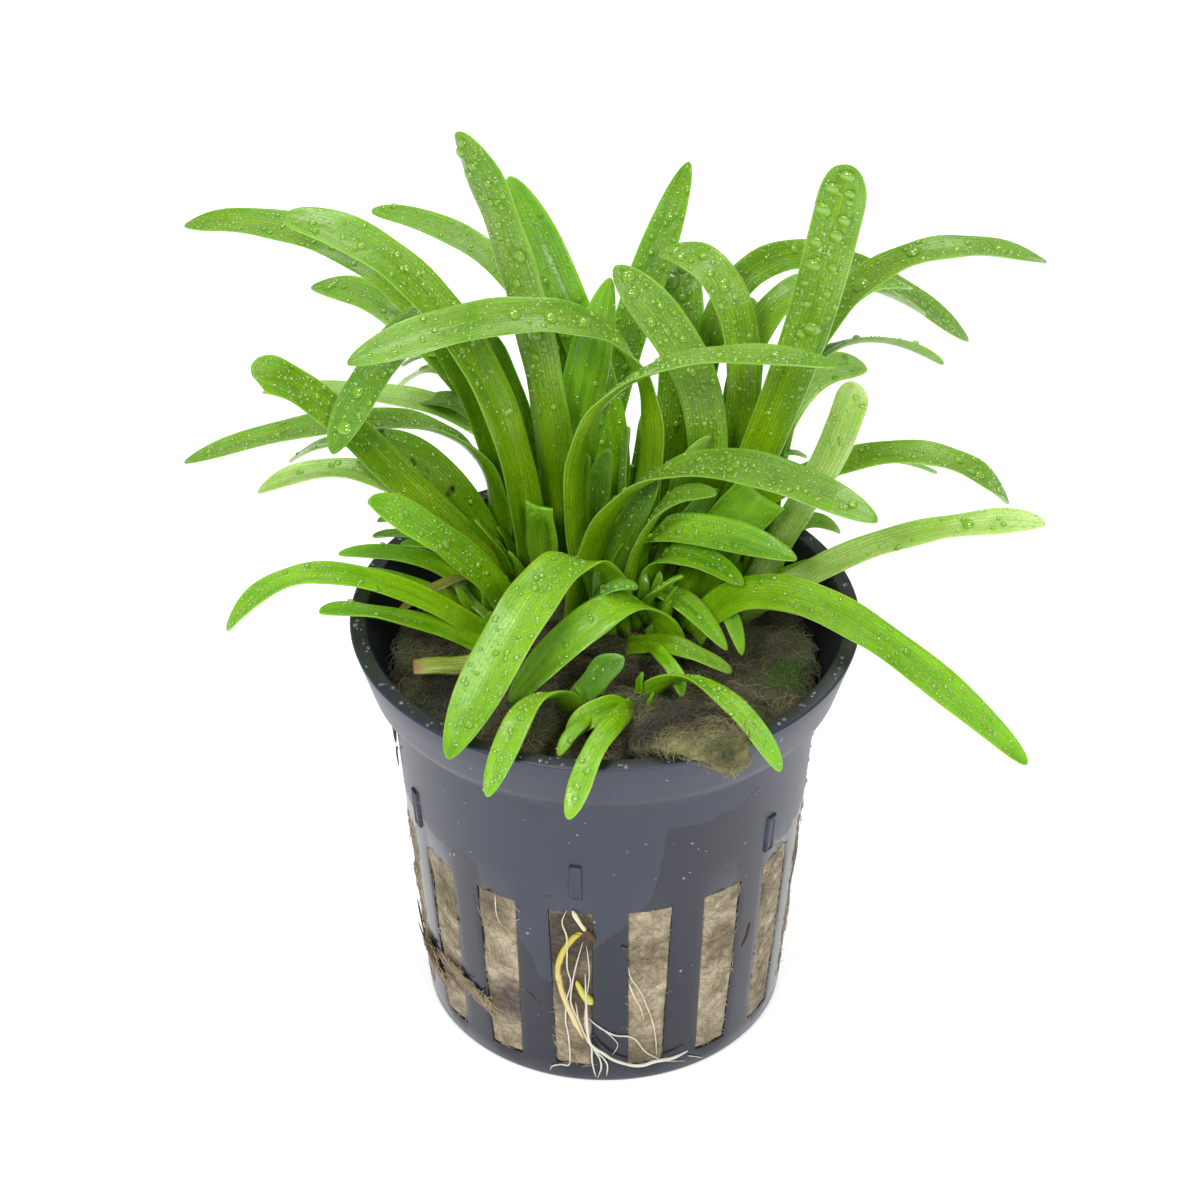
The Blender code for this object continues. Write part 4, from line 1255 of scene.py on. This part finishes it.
@dataclass
class RockWool:
    """The plug of rock wool, its loose tuft and its fibres."""

    pot: NetPot
    top: float = 44.0
    low_gap: float = 0.3
    wall_gap: float = 0.35
    swell: float = 1.3
    top_from: float = 42.5
    slots_below: float = 27.0
    slot_skin: float = 0.9
    slot_shares: tuple[float, ...] = (-0.985, -0.9, -0.66, -0.4, -0.13, 0.13, 0.4, 0.66, 0.9,
                                      0.985)
    rib_steps: int = 4
    slot_steps: int = 60
    tuft_rings: tuple = (
        (-67, 13.5, 46.2, 2.5, 0.8),
        (-67, 16.0, 46.8, 7.5, 2.6),
        (-68, 19.5, 47.6, 11.0, 3.4),
        (-68, 22.6, 49.0, 11.2, 2.9),
        (-67, 25.0, 50.8, 9.8, 1.6),
        (-65.5, 27.2, 50.9, 7.6, 1.3),
        (-64, 28.3, 50.2, 5.0, 1.1),
        (-63, 28.8, 48.8, 2.8, 0.8),
        (-62.5, 28.8, 48.0, 1.2, 0.5),
    )

    def top_height(self, x: float, y: float) -> float:
        """Return the height of the wool's uneven top at a place."""
        lumps = 0.45 * math.sin(0.31 * x + 0.9) * math.cos(0.27 * y)
        clumps = 0.8 * fuzz(x, y, 0.0, 3.1, 4.0) + 0.5 * fuzz(x, y, 0.0, 1.1, 9.0)
        return self.top + lumps + 0.2 * math.sin(0.7 * x - 0.5 * y) + clumps

    def ring(self, height: float) -> list[tuple[float, float]]:
        """Return the bearing of each column at a height and how far it stands in a slot."""
        half = self.pot.slot_half(height)
        free = 2.0 * math.pi / self.pot.slots - 2.0 * self.slot_shares[-1] * half
        out = []
        for middle in self.pot.slot_middles():
            out += [(middle + half * s, 1.0 if abs(s) < 0.95 else 0.95) for s in self.slot_shares]
            edge = middle + half * self.slot_shares[-1]
            out += [(edge + free * k / (self.rib_steps + 1), 0.0)
                    for k in range(1, self.rib_steps + 1)]
        return out

    def side_point(self, bearing: float, height: float, proud: float) -> Point:
        """Return a point of the plug's side, which swells into each slot."""
        x, y = 21.0 * math.cos(bearing), 21.0 * math.sin(bearing)
        rough = 0.26 * fuzz(x, y, height, 4.2, 1.0) + 0.04 * fuzz(x, y, height, 0.9, 6.0)
        depth = self.pot.wall + self.wall_gap - proud * (self.swell + rough - 0.1)
        radius = self.pot.radius(max(height, self.pot.slot_bottom)) - max(depth, 0.06)
        return (radius * math.cos(bearing), radius * math.sin(bearing), height)

    def side_rows(self) -> list[tuple[float, float]]:
        """Return the side's rows from the floor up, each with its share of the swelling."""
        bottom, top = self.pot.slot_bottom, self.pot.slot_top
        rows = [(self.pot.floor + self.low_gap, 0.0), (bottom, 0.0), (bottom + 0.06, 0.95)]
        low, high = bottom + 0.3, top - 0.3
        rows += [(low + (high - low) * k / self.slot_steps, 1.0)
                 for k in range(self.slot_steps + 1)]
        rows += [(top - 0.06, 0.95), (top, 0.0)]
        rows += [(height, 0.0) for height in (29.0, 32.0, 35.0, 38.0, self.pot.neck_height)]
        return rows

    def build_plug(self, finish: Material, mossy: Material) -> Object:
        """Make the plug.

        Args:
            finish: The clean wool of the sides.
            mossy: The dark, mossy wool of the top.

        Returns:
            The plug.
        """
        floor = self.pot.floor + self.low_gap
        neck = [a for a, _ in self.ring(self.pot.slot_top)]
        base = [a for a, _ in self.ring(self.pot.slot_bottom)]
        points = [(r * math.cos(a), r * math.sin(a), floor) for r in (6.0, 14.0) for a in base]
        for height, share in self.side_rows():
            points += [self.side_point(a, height, proud * share) for a, proud in self.ring(height)]
        shoulder = [(22.9, 1.3), (22.5, 0.5), (21.9, 0.1), (21.0, 0.0)]
        for radius, drop in shoulder + [(20.5 - 0.5 * k, 0.0) for k in range(40)]:
            for a in neck:
                x, y = radius * math.cos(a), radius * math.sin(a)
                points.append((x, y, self.top_height(x, y) - drop))
        rows = len(points) // len(neck)
        plug = mesh_object("wool_plug", points, grid_faces(rows, len(neck)), finish)
        plug.data.materials.append(mossy)
        for face in plug.data.polygons:
            face.material_index = 1 if face.center.z > self.pot.neck_height * MM else 0
        return plug

    def in_slot(self, place: Vector, _: Vector) -> float:
        """Return 1 where a point of the plug stands in a slot."""
        reach = math.hypot(place.x, place.y)
        outer = reach > self.pot.radius(place.z) - self.slot_skin
        return 1.0 if outer and place.z < self.slots_below else 0.0

    def on_top(self, place: Vector, _: Vector) -> float:
        """Return 1 on the plug's top."""
        return 1.0 if place.z > self.top_from else 0.0

    def mossy_patch(self, place: Vector, _: Vector) -> float:
        """Return the density of moss at a point: a patch at the right and scattered tufts."""
        if place.z < self.top_from:
            return 0.0
        patch = max(1.0 - (place - Vector((19.8, -4.0, 44.0))).length / 2.6, 0.0)
        tufts = max(fuzz(place.x, place.y, 0.0, 2.6, 12.0) - 0.25, 0.0)
        return min(1.6 * patch + 1.5 * tufts, 1.0)

    def build_fibres(self, plug: Object, tuft: Object,
                     tan: Material, dark: Material,
                     loose: Material, moss: Material) -> None:
        """Lay loose fibres on the plug and the tuft, and moss on top.

        Args:
            plug: The plug of wool.
            tuft: The loose tuft.
            tan: The fibres' finish in the slots.
            dark: The fibres' finish on top.
            loose: The fibres' finish on the tuft.
            moss: The moss's finish.
        """
        slot_shape = strand(0.12, 0.07, 0.02)
        top_shape = strand(0.2, 0.22, 0.02)
        moss_shape = strand(0.1, 0.5, 0.07, steps=3)
        jobs = (
            (plug, self.in_slot, slot_shape, tan,
             Scatter("slot_fibres", 3.0, 1.0, 3.0, 1.6, 6.0, 21)),
            (plug, self.on_top, top_shape, dark,
             Scatter("top_fibres", 3.6, 0.8, 3.4, 1.5, 30.0, 22)),
            (tuft, lambda place, normal: 1.0, top_shape, loose,
             Scatter("tuft_fibres", 10.0, 0.9, 2.8, 1.4, 45.0, 23)),
            (plug, self.mossy_patch, moss_shape, moss,
             Scatter("moss", 14.0, 0.35, 0.9, 1.2, 70.0, 24)),
        )
        for surface, rule, shape, finish, scatter in jobs:
            cover = [rule(point.co / MM, point.normal) for point in surface.data.vertices]
            settle(scatter.grow(surface, cover, shape, finish), "rock_wool")
        for shape in (slot_shape, top_shape, moss_shape):
            bpy.data.objects.remove(shape)

    def build_tuft(self, finish: Material) -> Object:
        """Make the tuft that spills over the rim at the front right."""
        sides, steps = 28, 5
        rings = np.array(self.tuft_rings, dtype=float)
        places = np.linspace(0.0, len(rings) - 1.0, (len(rings) - 1) * steps + 1)
        smooth = np.stack([np.interp(places, range(len(rings)), rings[:, n])
                           for n in range(rings.shape[1])], axis=1)
        points = []
        for bearing, radius, height, width, depth in smooth:
            outward, along = wall_ways(math.radians(bearing))
            for c, s in around(sides):
                way = along * (0.5 * width * c) + UP * (0.5 * depth * s)
                place = outward * radius + UP * height + way
                rough = 0.45 * fuzz(*place, 1.7, 3.0) + 0.25 * fuzz(*place, 0.7, 8.0)
                points.append(place + way.normalized() * (rough - 0.1))
        return mesh_object("loose_tuft", points, grid_faces(len(smooth), sides), finish)


@dataclass
class Crowns:
    """The pale swollen stem bases that the leaves grow from, given a dark green finish: a painted
    shade for the shade deep between the leaf bases.
    """

    places: dict = field(default_factory=lambda: {
        "main": ((-4.5, 12.5), (8.5, 8.0)), "right": ((12.0, 13.5), (5.5, 6.0)),
        "middle": ((3.5, 2.0), (7.5, 4.0)), "left": ((-12.0, 0.8), (3.0, 5.8)),
        "front": ((0.8, -11.5), (5.2, 3.2))})
    rows: tuple[tuple[float, float], ...] = (
        (0.9, 44.3), (1.0, 45.0), (0.98, 45.5), (0.85, 45.9), (0.6, 46.2), (0.3, 46.3))
    sides: int = 48

    def build(self, finish: Material, fibres: Material) -> None:
        """Make every crown as a low mound of sheaths, grown over by fibres.

        Args:
            finish: The crowns' finish, a dark painted shade.
            fibres: The finish of the fibres on them.
        """
        shape = strand(0.2, 0.2, 0.025)
        for rosette, (centre, radii) in self.places.items():
            points = []
            for share, height in self.rows:
                for k in range(self.sides):
                    a = 2.0 * math.pi * k / self.sides
                    ridge = 1.0 + 0.06 * math.sin(5.0 * a + centre[0]) * share
                    x = centre[0] + radii[0] * share * ridge * math.cos(a)
                    y = centre[1] + radii[1] * share * ridge * math.sin(a)
                    points.append((x, y, height + 0.4 * fuzz(x, y, height, 1.3, 2.0)))
            mound = mesh_object(f"sheath_{rosette}", points,
                                grid_faces(len(self.rows), self.sides), finish)
            cover = [1.0 if point.normal.z > 0.1 else 0.0 for point in mound.data.vertices]
            scatter = Scatter(f"crown_fibres_{rosette}", 7.0, 0.7, 2.6, 1.4, 30.0, 31)
            settle(scatter.grow(mound, cover, shape, fibres), "rock_wool")
            settle(mound, "crown_flesh", f"crown_{rosette}")
        bpy.data.objects.remove(shape)


class RootKind(Enum):
    """What a strand on the pot's wall is made of."""

    WHITE = "white"
    CREAM = "cream"
    RUNNER = "runner"
    SHOOT = "shoot"
    BROWN = "brown"
    WOOL = "wool"


@dataclass(frozen=True)
class RootFinish:
    """Wet root tissue, paler and clearer than leaf, faintly mottled."""

    name: str
    upper: str
    lower: str
    turn_height: float = 12.0
    turn_span: float = 14.0
    roughness: float = 0.3
    glow: float = 0.4

    def build(self) -> Material:
        """Return the root material, which changes colour down the pot."""
        material, add, place = new_material(self.name)
        axes = add("SeparateXYZ", {0: place}).outputs
        fall = add("MapRange", {
            "Value": axes[2], "From Min": (self.turn_height - 0.5 * self.turn_span) * MM,
            "From Max": (self.turn_height + 0.5 * self.turn_span) * MM})
        mottle = add("TexNoise", {"Vector": place, "Scale": 700.0, "Detail": 3.0})
        share = add("Math", {0: mottle, 1: 0.5, 2: fall}, operation="MULTIPLY_ADD")
        drop = add("Math", {0: share, 1: 0.25}, operation="SUBTRACT", use_clamp=True)
        body = add("Mix", {0: drop, 6: self.lower, 7: self.upper}, data_type="RGBA")
        bump = add("Bump", {"Height": mottle, "Strength": 0.4, "Distance": 0.05 * MM})
        return dress(material, {
            "Base Color": body, "Normal": bump, "Roughness": self.roughness,
            "Subsurface Weight": self.glow, "Subsurface Radius": (1.0, 0.8, 0.5),
            "Subsurface Scale": 0.5 * MM})


ROOT_FINISHES = {
    RootKind.WHITE: RootFinish("fine_root", "#d8cfba", "#e9e4d6"),
    RootKind.CREAM: RootFinish("cream_root", "#e8dcb8", "#d9c89a"),
    RootKind.RUNNER: RootFinish("runner_skin", "#c9bd34", "#ecd3a0", 16.0, 10.0),
    RootKind.SHOOT: RootFinish("young_shoot", "#c9c93a", "#e3dc7a"),
    RootKind.BROWN: RootFinish("dead_root", "#5b4028", "#7a5c3c", roughness=0.7, glow=0.0),
    RootKind.WOOL: RootFinish("stray_wool", "#85735a", "#a8977a", roughness=0.9, glow=0.0),
}


@dataclass(frozen=True)
class Strand:
    """A root, runner or scrap that lies on the pot's wall, as (x, height) stops.

    Thick is its radius at its start and at its end.
    """

    stops: tuple[tuple[float, float], ...]
    thick: tuple[float, float] = (0.16, 0.06)
    rise: float = 0.12
    front: bool = True
    hairs: int = 0


STRANDS: dict[RootKind, tuple[Strand, ...]] = {
    RootKind.WHITE: (
        Strand(((-4.1, 26.6), (-4.6, 24.7), (-4.1, 22.4), (-4.1, 18), (-3.7, 15.6), (-4.2, 12.8),
                (-4.3, 9.5), (-4, 7.1), (-3.9, 2.9), (-4.9, 2.5), (-5.8, 2), (-6.1, 1.2)),
               (0.15, 0.12)),
        Strand(((-2.4, 22.2), (-3.2, 18.1), (-3.7, 14.2), (-3.6, 12.2), (-2.7, 9.5), (-1.9, 6.9),
                (-0.7, 4.5), (-0.4, 2.8), (-0.8, 1.1)), (0.13, 0.15), 0.3),
        Strand(((-2.1, 10.6), (-0.4, 8.8), (1.1, 7.7), (2.5, 7.4), (3.4, 6.7), (4.3, 4.9),
                (5.3, 3.7), (6.8, 2.5), (8.9, 1.6)), (0.16, 0.08)),
        Strand(((-0.4, 8.8), (0.8, 7.4), (1.4, 6.1), (0.8, 4.5)), (0.1, 0.06)),
        Strand(((2.5, 18.2), (2.8, 16.5), (3.9, 14.1), (4.6, 11.7), (5.2, 9.3), (5.6, 6.3),
                (5.7, 3.8)), (0.11, 0.09)),
        Strand(((-2.0, 8.0), (-1.5, 6.1), (-1.4, 3.5), (-1, 1.1)), (0.18, 0.12), 0.2),
        Strand(((-2.0, 21.5), (-1.7, 17.5), (-2.0, 13.5), (-2.2, 9.5), (-1.6, 6.0)),
               (0.1, 0.14), 0.1),
        Strand(((-3.2, 13.0), (-2.9, 10.5), (-2.2, 8.0), (-1.0, 5.6), (0.2, 3.6), (0.2, 1.6)),
               (0.1, 0.14), 0.45),
        Strand(((-11.8, 26.1), (-11.7, 23.4), (-11.2, 21.9)), (0.13, 0.06)),
        Strand(((9.2, 2.3), (10.3, 1.5), (11.0, 0.9)), (0.08, 0.05)),
        Strand(((7.0, 21.0), (7.6, 15.0), (6.4, 9.0), (7.2, 4.0)), (0.12, 0.07), front=False),
        Strand(((-6.0, 17.0), (-7.0, 11.0), (-5.0, 6.0), (-6.5, 2.2)), (0.12, 0.07),
               front=False),
        Strand(((-15.0, 20.0), (-14.0, 13.0), (-15.5, 7.0)), (0.12, 0.07), front=False),
    ),
    RootKind.CREAM: (
        Strand(((2.6, 15.6), (3.2, 13.5), (3.9, 11.6), (4.3, 9.5)), (0.14, 0.06)),
        Strand(((-3.5, 26.6), (-2.4, 24.3), (-1.4, 22.9)), (0.3, 0.22), 0.1),
        Strand(((5.2, 2.9), (6.2, 2.6), (7.4, 2.75), (8.6, 2.7)), (0.1, 0.06)),
    ),
    RootKind.SHOOT: (
        Strand(((-3.1, 16.1), (-2.8, 15.2), (-2.3, 14.1), (-1.4, 12.7)), (0.2, 0.55), 0.2),
    ),
    RootKind.BROWN: (
        Strand(((-2.2, 24.0), (-1.6, 23.2), (-1.1, 22.2)), (0.4, 0.3), 0.1),
        Strand(((2.1, 21.4), (1.9, 21.2), (2.5, 21.0)), (0.2, 0.12), 0.1),
        Strand(((-20.0, 10.0), (-19.8, 9.2), (-19.3, 8.2)), (0.12, 0.07), 0.3, hairs=20),
        Strand(((-23.1, 41.5), (-22.9, 38.0), (-22.8, 35.2)), (0.3, 0.12), 0.3),
        Strand(((-22.6, 36.0), (-22.75, 34.0), (-22.55, 32.2)), (0.16, 0.06), 0.35),
        Strand(((15.9, 18.5), (15.6, 16.8), (15.0, 15.6)), (0.16, 0.08), 0.05),
        Strand(((-8.6, 12.9), (-7.8, 12.1), (-7.1, 11.4)), (0.06, 0.05), 0.04),
    ),
    RootKind.WOOL: (
        Strand(((-17.6, 10.8), (-16.4, 10.2), (-14.9, 9.6), (-13.3, 8.6), (-12.0, 8.0)),
               (0.1, 0.06), 0.05, hairs=110),
        Strand(((-19.6, 9.6), (-19.5, 8.8), (-18.9, 7.6), (-18.1, 6.6)), (0.1, 0.06), 0.1,
               hairs=50),
    ),
}


@dataclass
class Roots:
    """Every root, runner and scrap outside the wall."""

    pot: NetPot
    runner_stops: tuple = ((-5.8, -0.3, 23.4), (-8.6, -0.2, 22.6), (-11.8, -0.2, 20.3),
                           (-13.8, -0.2, 17.6), (-13.4, -0.2, 15.0), (-11.6, -0.1, 12.3),
                           (-9.2, 0.0, 9.8), (-6.6, 0.1, 7.2))
    long_stops: tuple = ((-5.6, 0.5, 17.5), (-5.4, 0.6, 12.0), (-5.0, 0.8, 8.6), (-4.0, 0.8, 6.8),
                         (-0.5, 0.7, 5.4), (2.8, 0.6, 4.2), (8.2, 0.6, 3.2), (11.8, 0.6, 3.0),
                         (15.2, 0.6, 3.3), (21.0, 0.6, 3.2), (26.0, 0.6, 3.6))
    steps: int = 7
    sides: int = 8
    white_slimness: float = 0.7

    def at_wall(self, stop: tuple[float, float], rise: float, front: bool) -> Vector:
        """Return the place on the wall with an x and a height."""
        x, height = stop
        radius = self.pot.radius(height) + rise
        y = math.sqrt(max(radius * radius - x * x, 0.0))
        return Vector((x, -y if front else y, height))

    def by_bearing(self, stop: tuple[float, float, float]) -> Vector:
        """Return the place of a stop given as degrees from the front, rise and height."""
        a = math.radians(stop[0] - 90.0)
        radius = self.pot.radius(stop[2]) + stop[1]
        return Vector((radius * math.cos(a), radius * math.sin(a), stop[2]))

    def smooth(self, stops: Sequence[Vector]) -> list[Vector]:
        """Return a smooth curve's points through all the stops."""
        padded = [stops[0] * 2.0 - stops[1], *stops, stops[-1] * 2.0 - stops[-2]]
        out = []
        for k in range(len(stops) - 1):
            a, b, c, d = padded[k:k + 4]
            for n in range(self.steps):
                t = n / self.steps
                out.append(0.5 * (2.0 * b + (c - a) * t
                                  + (2.0 * a - 5.0 * b + 4.0 * c - d) * t * t
                                  + (3.0 * b - a - 3.0 * c + d) * t ** 3))
        return [*out, stops[-1].copy()]

    def tube(self, stops: Sequence[Vector], thick: tuple[float, float]) -> tuple[list, list]:
        """Return the points and faces of a tapered root with rounded ends.

        Args:
            stops: The places that it runs through.
            thick: Its radius at its start and at its end.

        Returns:
            The points and the faces.
        """
        line = self.smooth(stops)
        count = len(line)
        points = []
        for k, centre in enumerate(line):
            ahead = (line[min(k + 1, count - 1)] - line[max(k - 1, 0)]).normalized()
            side = ahead.cross(Vector((0.3, -1.0, 0.2))).normalized()
            other = ahead.cross(side)
            t = k / (count - 1)
            radius = thick[0] + (thick[1] - thick[0]) * t
            radius *= min(1.0, 0.35 + 6.0 * t, 0.35 + 6.0 * (1.0 - t))
            radius *= 1.0 + 0.16 * fuzz(*centre, 0.8, 5.0)
            points += [centre + side * (radius * c) + other * (radius * s)
                       for c, s in around(self.sides)]
        return points, grid_faces(count, self.sides)

    def routes(self, one: Strand, chance: np.random.Generator) -> list:
        """Return a strand's own stops, or those of the short hairs that felt together to it.

        Args:
            one: The strand.
            chance: The source of random numbers.

        Returns:
            The stops and the rise of each tube.
        """
        if not one.hairs:
            return [(one.stops, one.rise)]
        path = np.array(one.stops)
        out = []
        for _ in range(one.hairs):
            at = chance.uniform(0.0, len(path) - 1.0)
            centre = np.array([np.interp(at, range(len(path)), path[:, n]) for n in (0, 1)])
            run = path[min(int(at) + 1, len(path) - 1)] - path[int(at)]
            turn = math.atan2(run[1], run[0]) + chance.normal(0.0, 0.6)
            way = np.array((math.cos(turn), math.sin(turn))) * chance.uniform(0.5, 1.3)
            bow = np.array((-way[1], way[0])) * chance.uniform(-0.5, 0.5)
            centre = centre + chance.normal(0.0, 0.3, 2)
            out.append(((tuple(centre - way), tuple(centre + bow), tuple(centre + way)),
                        one.rise + chance.uniform(0.0, 0.35)))
        return out

    def build(self) -> None:
        """Make the runner, the long root and the finer strands."""
        chance = np.random.default_rng(7)
        finishes = {kind: ROOT_FINISHES[kind].build() for kind in RootKind}
        for name, node, stops, thick, kind, slot in (
                ("runner_stem", "runner", self.runner_stops, (0.42, 0.34), RootKind.RUNNER,
                 "runner_yellow"),
                ("main_root", "long_root", self.long_stops, (0.15, 0.21), RootKind.WHITE,
                 "root_white")):
            points, faces = self.tube([self.by_bearing(stop) for stop in stops], thick)
            settle(mesh_object(name, points, faces, finishes[kind]), slot, node)
        for kind, strands in STRANDS.items():
            slim = self.white_slimness if kind is RootKind.WHITE else 1.0
            points, faces = [], []
            for one in strands:
                for stops, lift in self.routes(one, chance):
                    places = [self.at_wall(stop, lift, one.front) for stop in stops]
                    join_shape(points, faces,
                               *self.tube(places, tuple(slim * size for size in one.thick)))
            settle(mesh_object(f"strands_{kind.value}", points, faces, finishes[kind]),
                   "rock_wool" if kind is RootKind.WOOL else "root_white")


@dataclass
class RimWater:
    """Beads of water on the rim's top and on the wall, most near the silhouettes."""

    pot: NetPot
    seed: int = 8
    rim_count: int = 150
    wall_groups: tuple = ((172.0, 9.0, 60, 0.4), (2.0, 9.0, 50, 0.4), (-90.0, 80.0, 22, 0.2))

    def build(self, water: Material) -> None:
        """Set the beads: around the rim, then in groups by bearing, spread and largest."""
        chance = np.random.default_rng(self.seed)
        spots = []
        for _ in range(self.rim_count):
            a = chance.uniform(0.0, 2.0 * math.pi)
            radius = chance.uniform(25.95, 27.2)
            spots.append((Vector((radius * math.cos(a), radius * math.sin(a), self.pot.height)),
                          UP, chance.uniform(0.09, 0.34) / MM))
        for middle, spread, count, largest in self.wall_groups:
            for _ in range(count):
                way, _ = wall_ways(math.radians(middle + chance.uniform(-spread, spread)))
                height = chance.uniform(28.0, 41.0)
                size = chance.uniform(0.08, largest)
                spots.append((way * self.pot.radius(height) + UP * height, way, size / MM))
        lay_beads("rim_beads", bead(7, 3), spots, water)


@dataclass(frozen=True)
class Studio:
    """A pale floor, soft light from above and behind, and the photograph's camera."""

    camera_place: Point = (-0.7, -318.4, 278.7)
    pitch: float = 35.5
    yaw: float = 0.03
    lens: float = 109.2
    sensor: float = 36.0
    floor_glow: float = 0.55
    floor_half: float = 3000.0
    world_strength: float = 0.25
    aim: Point = (0.0, 0.0, 50.0)
    lamps: tuple[tuple[str, Point, float, float], ...] = (
        ("overhead", (-90.0, 60.0, 640.0), 200.0, 1.3),
        ("left_window", (-180.0, -400.0, 440.0), 130.0, 1.25),
        ("right_window", (170.0, -410.0, 420.0), 110.0, 0.85),
        ("back", (180.0, 420.0, 600.0), 300.0, 1.1))

    def build(self) -> None:
        """Make the floor, the lights, the world and the camera."""
        self.build_floor()
        self.build_lights()
        data = bpy.data.cameras.new("camera")
        data.lens = self.lens
        data.sensor_width = self.sensor
        data.clip_start = 0.01
        camera = link_object("camera", data)
        camera.location = Vector(self.camera_place) * MM
        camera.rotation_euler = (math.radians(90.0 - self.pitch), 0.0, -math.radians(self.yaw))
        bpy.context.scene.camera = camera

    def build_floor(self) -> None:
        """Make the pale floor."""
        material, add, place = new_material("pale_floor")
        cloud = add("TexNoise", {"Vector": place, "Scale": 3.0})
        shade = add("Mix", {0: cloud, 6: (0.86, 0.86, 0.87, 1.0),
                            7: (0.9, 0.9, 0.9, 1.0)}, data_type="RGBA")
        dress(material, {"Base Color": shade, "Roughness": 0.6, "Emission Color": "#ffffff",
                         "Emission Strength": self.floor_glow})
        half = self.floor_half
        corners = [(-half, -half, 0.0), (half, -half, 0.0), (half, half, 0.0), (-half, half, 0.0)]
        mesh_object("floor", corners, [(0, 1, 2, 3)], material, closed=False)

    def build_lights(self) -> None:
        """Make the soft lights and the pale surroundings."""
        world = bpy.data.worlds.new("studio")
        world.use_nodes = True
        fill_inputs(world.node_tree, world.node_tree.nodes["Background"],
                    {"Color": "#ffffff", "Strength": self.world_strength})
        bpy.context.scene.world = world
        for name, place, size, power in self.lamps:
            data = bpy.data.lights.new(name, "AREA")
            data.size = size * MM
            data.energy = power
            lamp = link_object(name, data)
            lamp.location = Vector(place) * MM
            way = Vector(self.aim) * MM - lamp.location
            lamp.rotation_euler = way.to_track_quat("-Z", "Y").to_euler()
        bpy.context.scene.view_settings.view_transform = "Standard"


def main() -> None:
    """Build the potted plant and its surroundings."""
    logging.basicConfig(level=logging.INFO, format="%(message)s")
    leaf_water = Water("water_in_drops", "#78b81a", "#a4d63c", 0.74).build()
    # The fine beads are toned paler than the leaves beneath: a painted highlight, the glint of light
    # on tiny beads.
    mist = Water("fine_bead_water_and_glint", "#a4cc62", "#d2e8a6", 0.75).build()
    # Water on the plastic: its pale tone is a painted glint on the dark beads.
    rim_water = Water("plastic_water_and_glint", "#3a3f4c", "#a2a8b6", 0.5).build()
    outer = PotPlastic().build()
    # A darker copy of the same plastic for the rim's top, the inside and the slots' edges: painted
    # shade.
    inner = PotPlastic("moulded_polypropylene_painted_shade", "#2a2c30", "#1c1d21", "#5c5f66").build()
    pot = NetPot()
    settle(pot.build(outer, inner), "pot_plastic", "net_pot")
    wool = RockWool(pot)
    tan = WoolFinish("rock_wool_tan", "#cec1a4", "#8e7e62", "#74654a", 0.42, SLOT_STAINS).build()
    mossy = WoolFinish("rock_wool_mossy", "#655e3e", "#2c281b", "#39461f", 0.5, TOP_STAINS).build()
    loose = WoolFinish("rock_wool_loose", "#a29c64", "#645c3a", "#4a5628", 0.5,
                       TUFT_STAINS).build()
    dark = WoolFinish("rock_wool_fibres", "#948a60", "#48412a", "#55682a", 0.45,
                      TOP_STAINS).build()
    moss = LeafFinish("#3f7414", "#6ea52a", "#35600f", "#7fb040", "#6d9a4a").build("moss_leaf")
    plug = wool.build_plug(tan, mossy)
    tuft = wool.build_tuft(loose)
    wool.build_fibres(plug, tuft, tan, dark, loose, moss)
    settle(plug, "rock_wool", "rock_wool")
    settle(tuft, "rock_wool", "wool_tuft")
    crowns = Crowns()
    # The crowns are coloured dark green: painted shade for the shade between the leaf bases.
    crowns.build(WoolFinish("crown_painted_shade", "#4a5a20", "#232c12", "#2c3016", 0.4).build(), dark)
    Roots(pot).build()
    Foliage(leaf_water, mist, crowns.places).build()
    RimWater(pot).build(rim_water)
    Studio().build()


if __name__ == "__main__":
    main()
